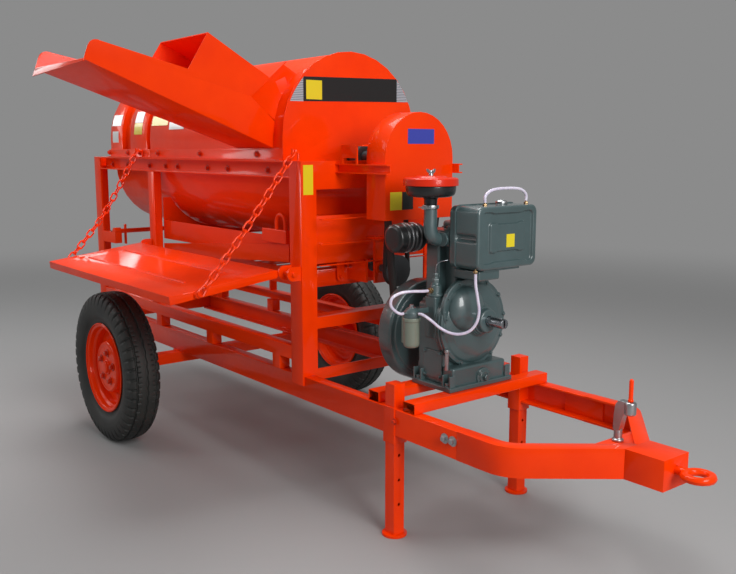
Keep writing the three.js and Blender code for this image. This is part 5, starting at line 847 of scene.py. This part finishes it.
def tank():
    """Rounded rectangles, one for each place along the depth. They draw in at both ends to round the edges, and
    then shrink to the middle to close the faces. The front face drops inside an outer frame and rises inside
    an inner one, and a waist is pressed into the right side."""
    size, middle = tank_high - tank_low, (tank_high + tank_low) / 2
    half_deep, half_wide, half_tall = size / 2
    corner, edge = 26, 9
    quarter = np.linspace(0, np.pi / 2, 12)
    y, z = half_wide - corner, half_tall - corner
    corners = [(y, z, 0), (-y, z, np.pi / 2), (-y, -z, np.pi), (y, -z, 1.5 * np.pi)]
    ring = []
    for i, (a, b, start) in enumerate(corners):
        ring.append(arc(a, b, corner, start + quarter))
        c, d, then = corners[(i + 1) % 4]
        side_steps = 62 if i % 2 == 0 else 46
        gap = np.linspace(0, 1, side_steps)[1:-1, None]
        ring.append(ring[-1][-1] + (arc(c, d, corner, then) - ring[-1][-1]) * gap)
    ring = np.vstack(ring)
    turn = np.linspace(0, np.pi / 2, 8)
    seam = 66 - tank_low[0] - half_deep
    depth = np.concatenate([
        np.full(30, -half_deep), -half_deep + edge * (1 - np.cos(turn)),
        np.linspace(-half_deep + edge, seam - 4, 8)[1:], seam + np.array([-2.5, -2.4, 2.4, 2.5]),
        np.linspace(seam + 4, half_deep - edge, 16)[:-1], half_deep - edge * (1 - np.cos(turn[::-1])),
        np.full(90, half_deep)])
    drawn = np.concatenate([np.linspace(1, 0, 31)[:-1], np.zeros(len(depth) - 120), np.linspace(0, 1, 91)[1:]])
    inset = np.concatenate([
        np.full(30, edge), edge * (1 - np.sin(turn)), np.zeros(7), [0, -4, -4, 0], np.zeros(15),
        edge * (1 - np.sin(turn[::-1])), np.full(90, edge)])
    shrink = (1 - drawn)[:, None, None] * (1 - inset[:, None, None] / np.array([half_wide, half_tall]))
    flat = ring[None] * shrink
    x, y, z = np.broadcast_to(depth[:, None], flat.shape[:2]), flat[..., 0], flat[..., 1]

    def inside(wide, tall, round_corner):
        """How far a point lies inside a rounded rectangle whose long sides pull in between the corners."""
        pull = 5 * (1 - ramp(np.abs(y), wide * 0.5, wide * 0.68))
        a, b = np.abs(y) - wide + round_corner, np.abs(z) - tall + pull + round_corner
        return round_corner - np.hypot(np.maximum(a, 0), np.maximum(b, 0)) - np.minimum(np.maximum(a, b), 0)

    front = (depth >= half_deep - 0.01)[:, None]
    outer_frame = ramp(inside(half_wide - 20, half_tall - 18, 20), 0, 7)
    inner_frame = ramp(inside(half_wide - 60, half_tall - 56, 16), 0, 7)
    x = x - front * (9 * outer_frame - 8 * inner_frame)
    waist_run = ramp(depth, -half_deep + 26, -half_deep + 46) * ramp(-depth, -half_deep + 8, -half_deep + 24)
    waist = notch(z, 3, 16) * waist_run[:, None]
    y = y + np.where(y < 0, 15.0, -4.0) * waist * ramp(np.abs(y), half_wide - 16, half_wide - 4)
    points = np.stack([x, y, z], -1) + middle + engine
    return points.reshape(-1, 3), grid_faces(len(depth), len(ring), False, True)


neck = lathed([(505, 24), (517, 24), (519, 17.6), (524, 17.6)], 1.5, "z", engine + [114.5, 75.2, 0], 48)
piece("fuel_tank_shell", *merged(tank(), neck), green, replaces="fuel_tank", sharp=50)
front_foil("tank_yellow", engine_x + 181.1, 35, 78, 1070, 1118, yellow_foil)
eased("tank_cap", zinc_steel, 1)

# Air cleaner: an oil-bath bowl of black enamel under a pressed red lid with a plated wing nut, clamped to the
# inlet pipe by a steel band.
red_enamel = enamel("red_lid_enamel", "#e02e0c", "#cf2608", 0.3, 0.3, 4, 0.2)
black_enamel = enamel("black_enamel", "#191a1b", "#121314", 0.3, 0.3, 3)
cleaner = engine + [-25, -152, 0]
piece("air_cleaner_lid", *lathed([
    (590, 97), (587, 102), (592, 102), (612, 101), (616, 96), (617, 60), (622, 54), (624, 14)], 5, "z",
    cleaner, curve=4), red_enamel, replaces="air_cleaner")
piece("air_cleaner_bowl", *lathed([
    (500, 23), (540, 25), (546, 34), (546, 70), (552, 86), (566, 92), (585, 93), (591, 90)], 6, "z",
    cleaner, curve=4), black_enamel)
wing = [lathed([(623, 9), (632, 8), (637, 4.5), (643, 4)], 1, "z", cleaner, 24)]
for side in (-1, 1):
    blade = prism(filleted([(side * 3, 626), (side * 20, 637), (side * 22, 648), (side * 14, 648), (side * 3, 636)],
                           3, 3, True), "x", -2, 2)
    wing.append((blade[0] + cleaner, blade[1]))
piece("lid_wing_nut", *merged(*wing), zinc_steel)
band = turned(filleted([(503, 25), (503, 31), (516, 31), (516, 25)], 1, 2, True), "z", cleaner, 64, True)
ear = engine_block(-8, 8, -212, -180, 504, 515)
piece("cleaner_band", *merged(band, ear, engine_block(-30, 20, -208, -202, 508, 512)), zinc_steel)

# Silencer: a sheet steel can with rolled seams, in black heat-proof paint, flanged to the head's right side.
# Two plated straps go round it.
can_middle = engine + [-125, 0, 390]
piece("silencer_can", *lathed([
    (-252, 40), (-247, 52), (-240, 54), (-214, 54), (-211, 57), (-206, 57), (-203, 54), (-176, 54), (-173, 57),
    (-168, 57), (-165, 54), (-130, 54), (-120, 48), (-116, 27), (-108.3, 27)], 3, "y", can_middle),
    black_enamel, replaces="silencer")
bands = [turned(filleted([(y, 50), (y, 56.5), (y + 7, 56.5), (y + 7, 50)], 1, 2, True), "y", can_middle, 96, True)
         for y in (-194, -156)]
piece("silencer_bands", *merged(*bands), zinc_steel)

# Fuel filter: a canister of pressed sheet in pale enamel, screwed up to a cast head in the engine's.
# An arm and a strap hold it to the crankcase.
filter_enamel = enamel("pale_filter_enamel", "#7c8476", "#6d7568", 0.3, 0.4, 3)
filter_place = engine + [-30, -236, 0]
eased("fuel_filter", green, 1.5)
piece("filter_canister", *lathed([(-8, 20), (-4, 27), (4, 30), (90, 30), (92, 33), (103, 33), (106, 30)], 3,
                                 "z", filter_place, 64), filter_enamel)
strap = prism([(-82, 2), (-66, 2), (-66, 104), (-82, 104)], "y", -240, -234)
piece("filter_strap", *(strap[0] + engine, strap[1]), filter_enamel)
piece("filter_screw", *bolt_heads([filter_place + [0, 0, 141.5]], (0, 0, 1), 15), zinc_steel)
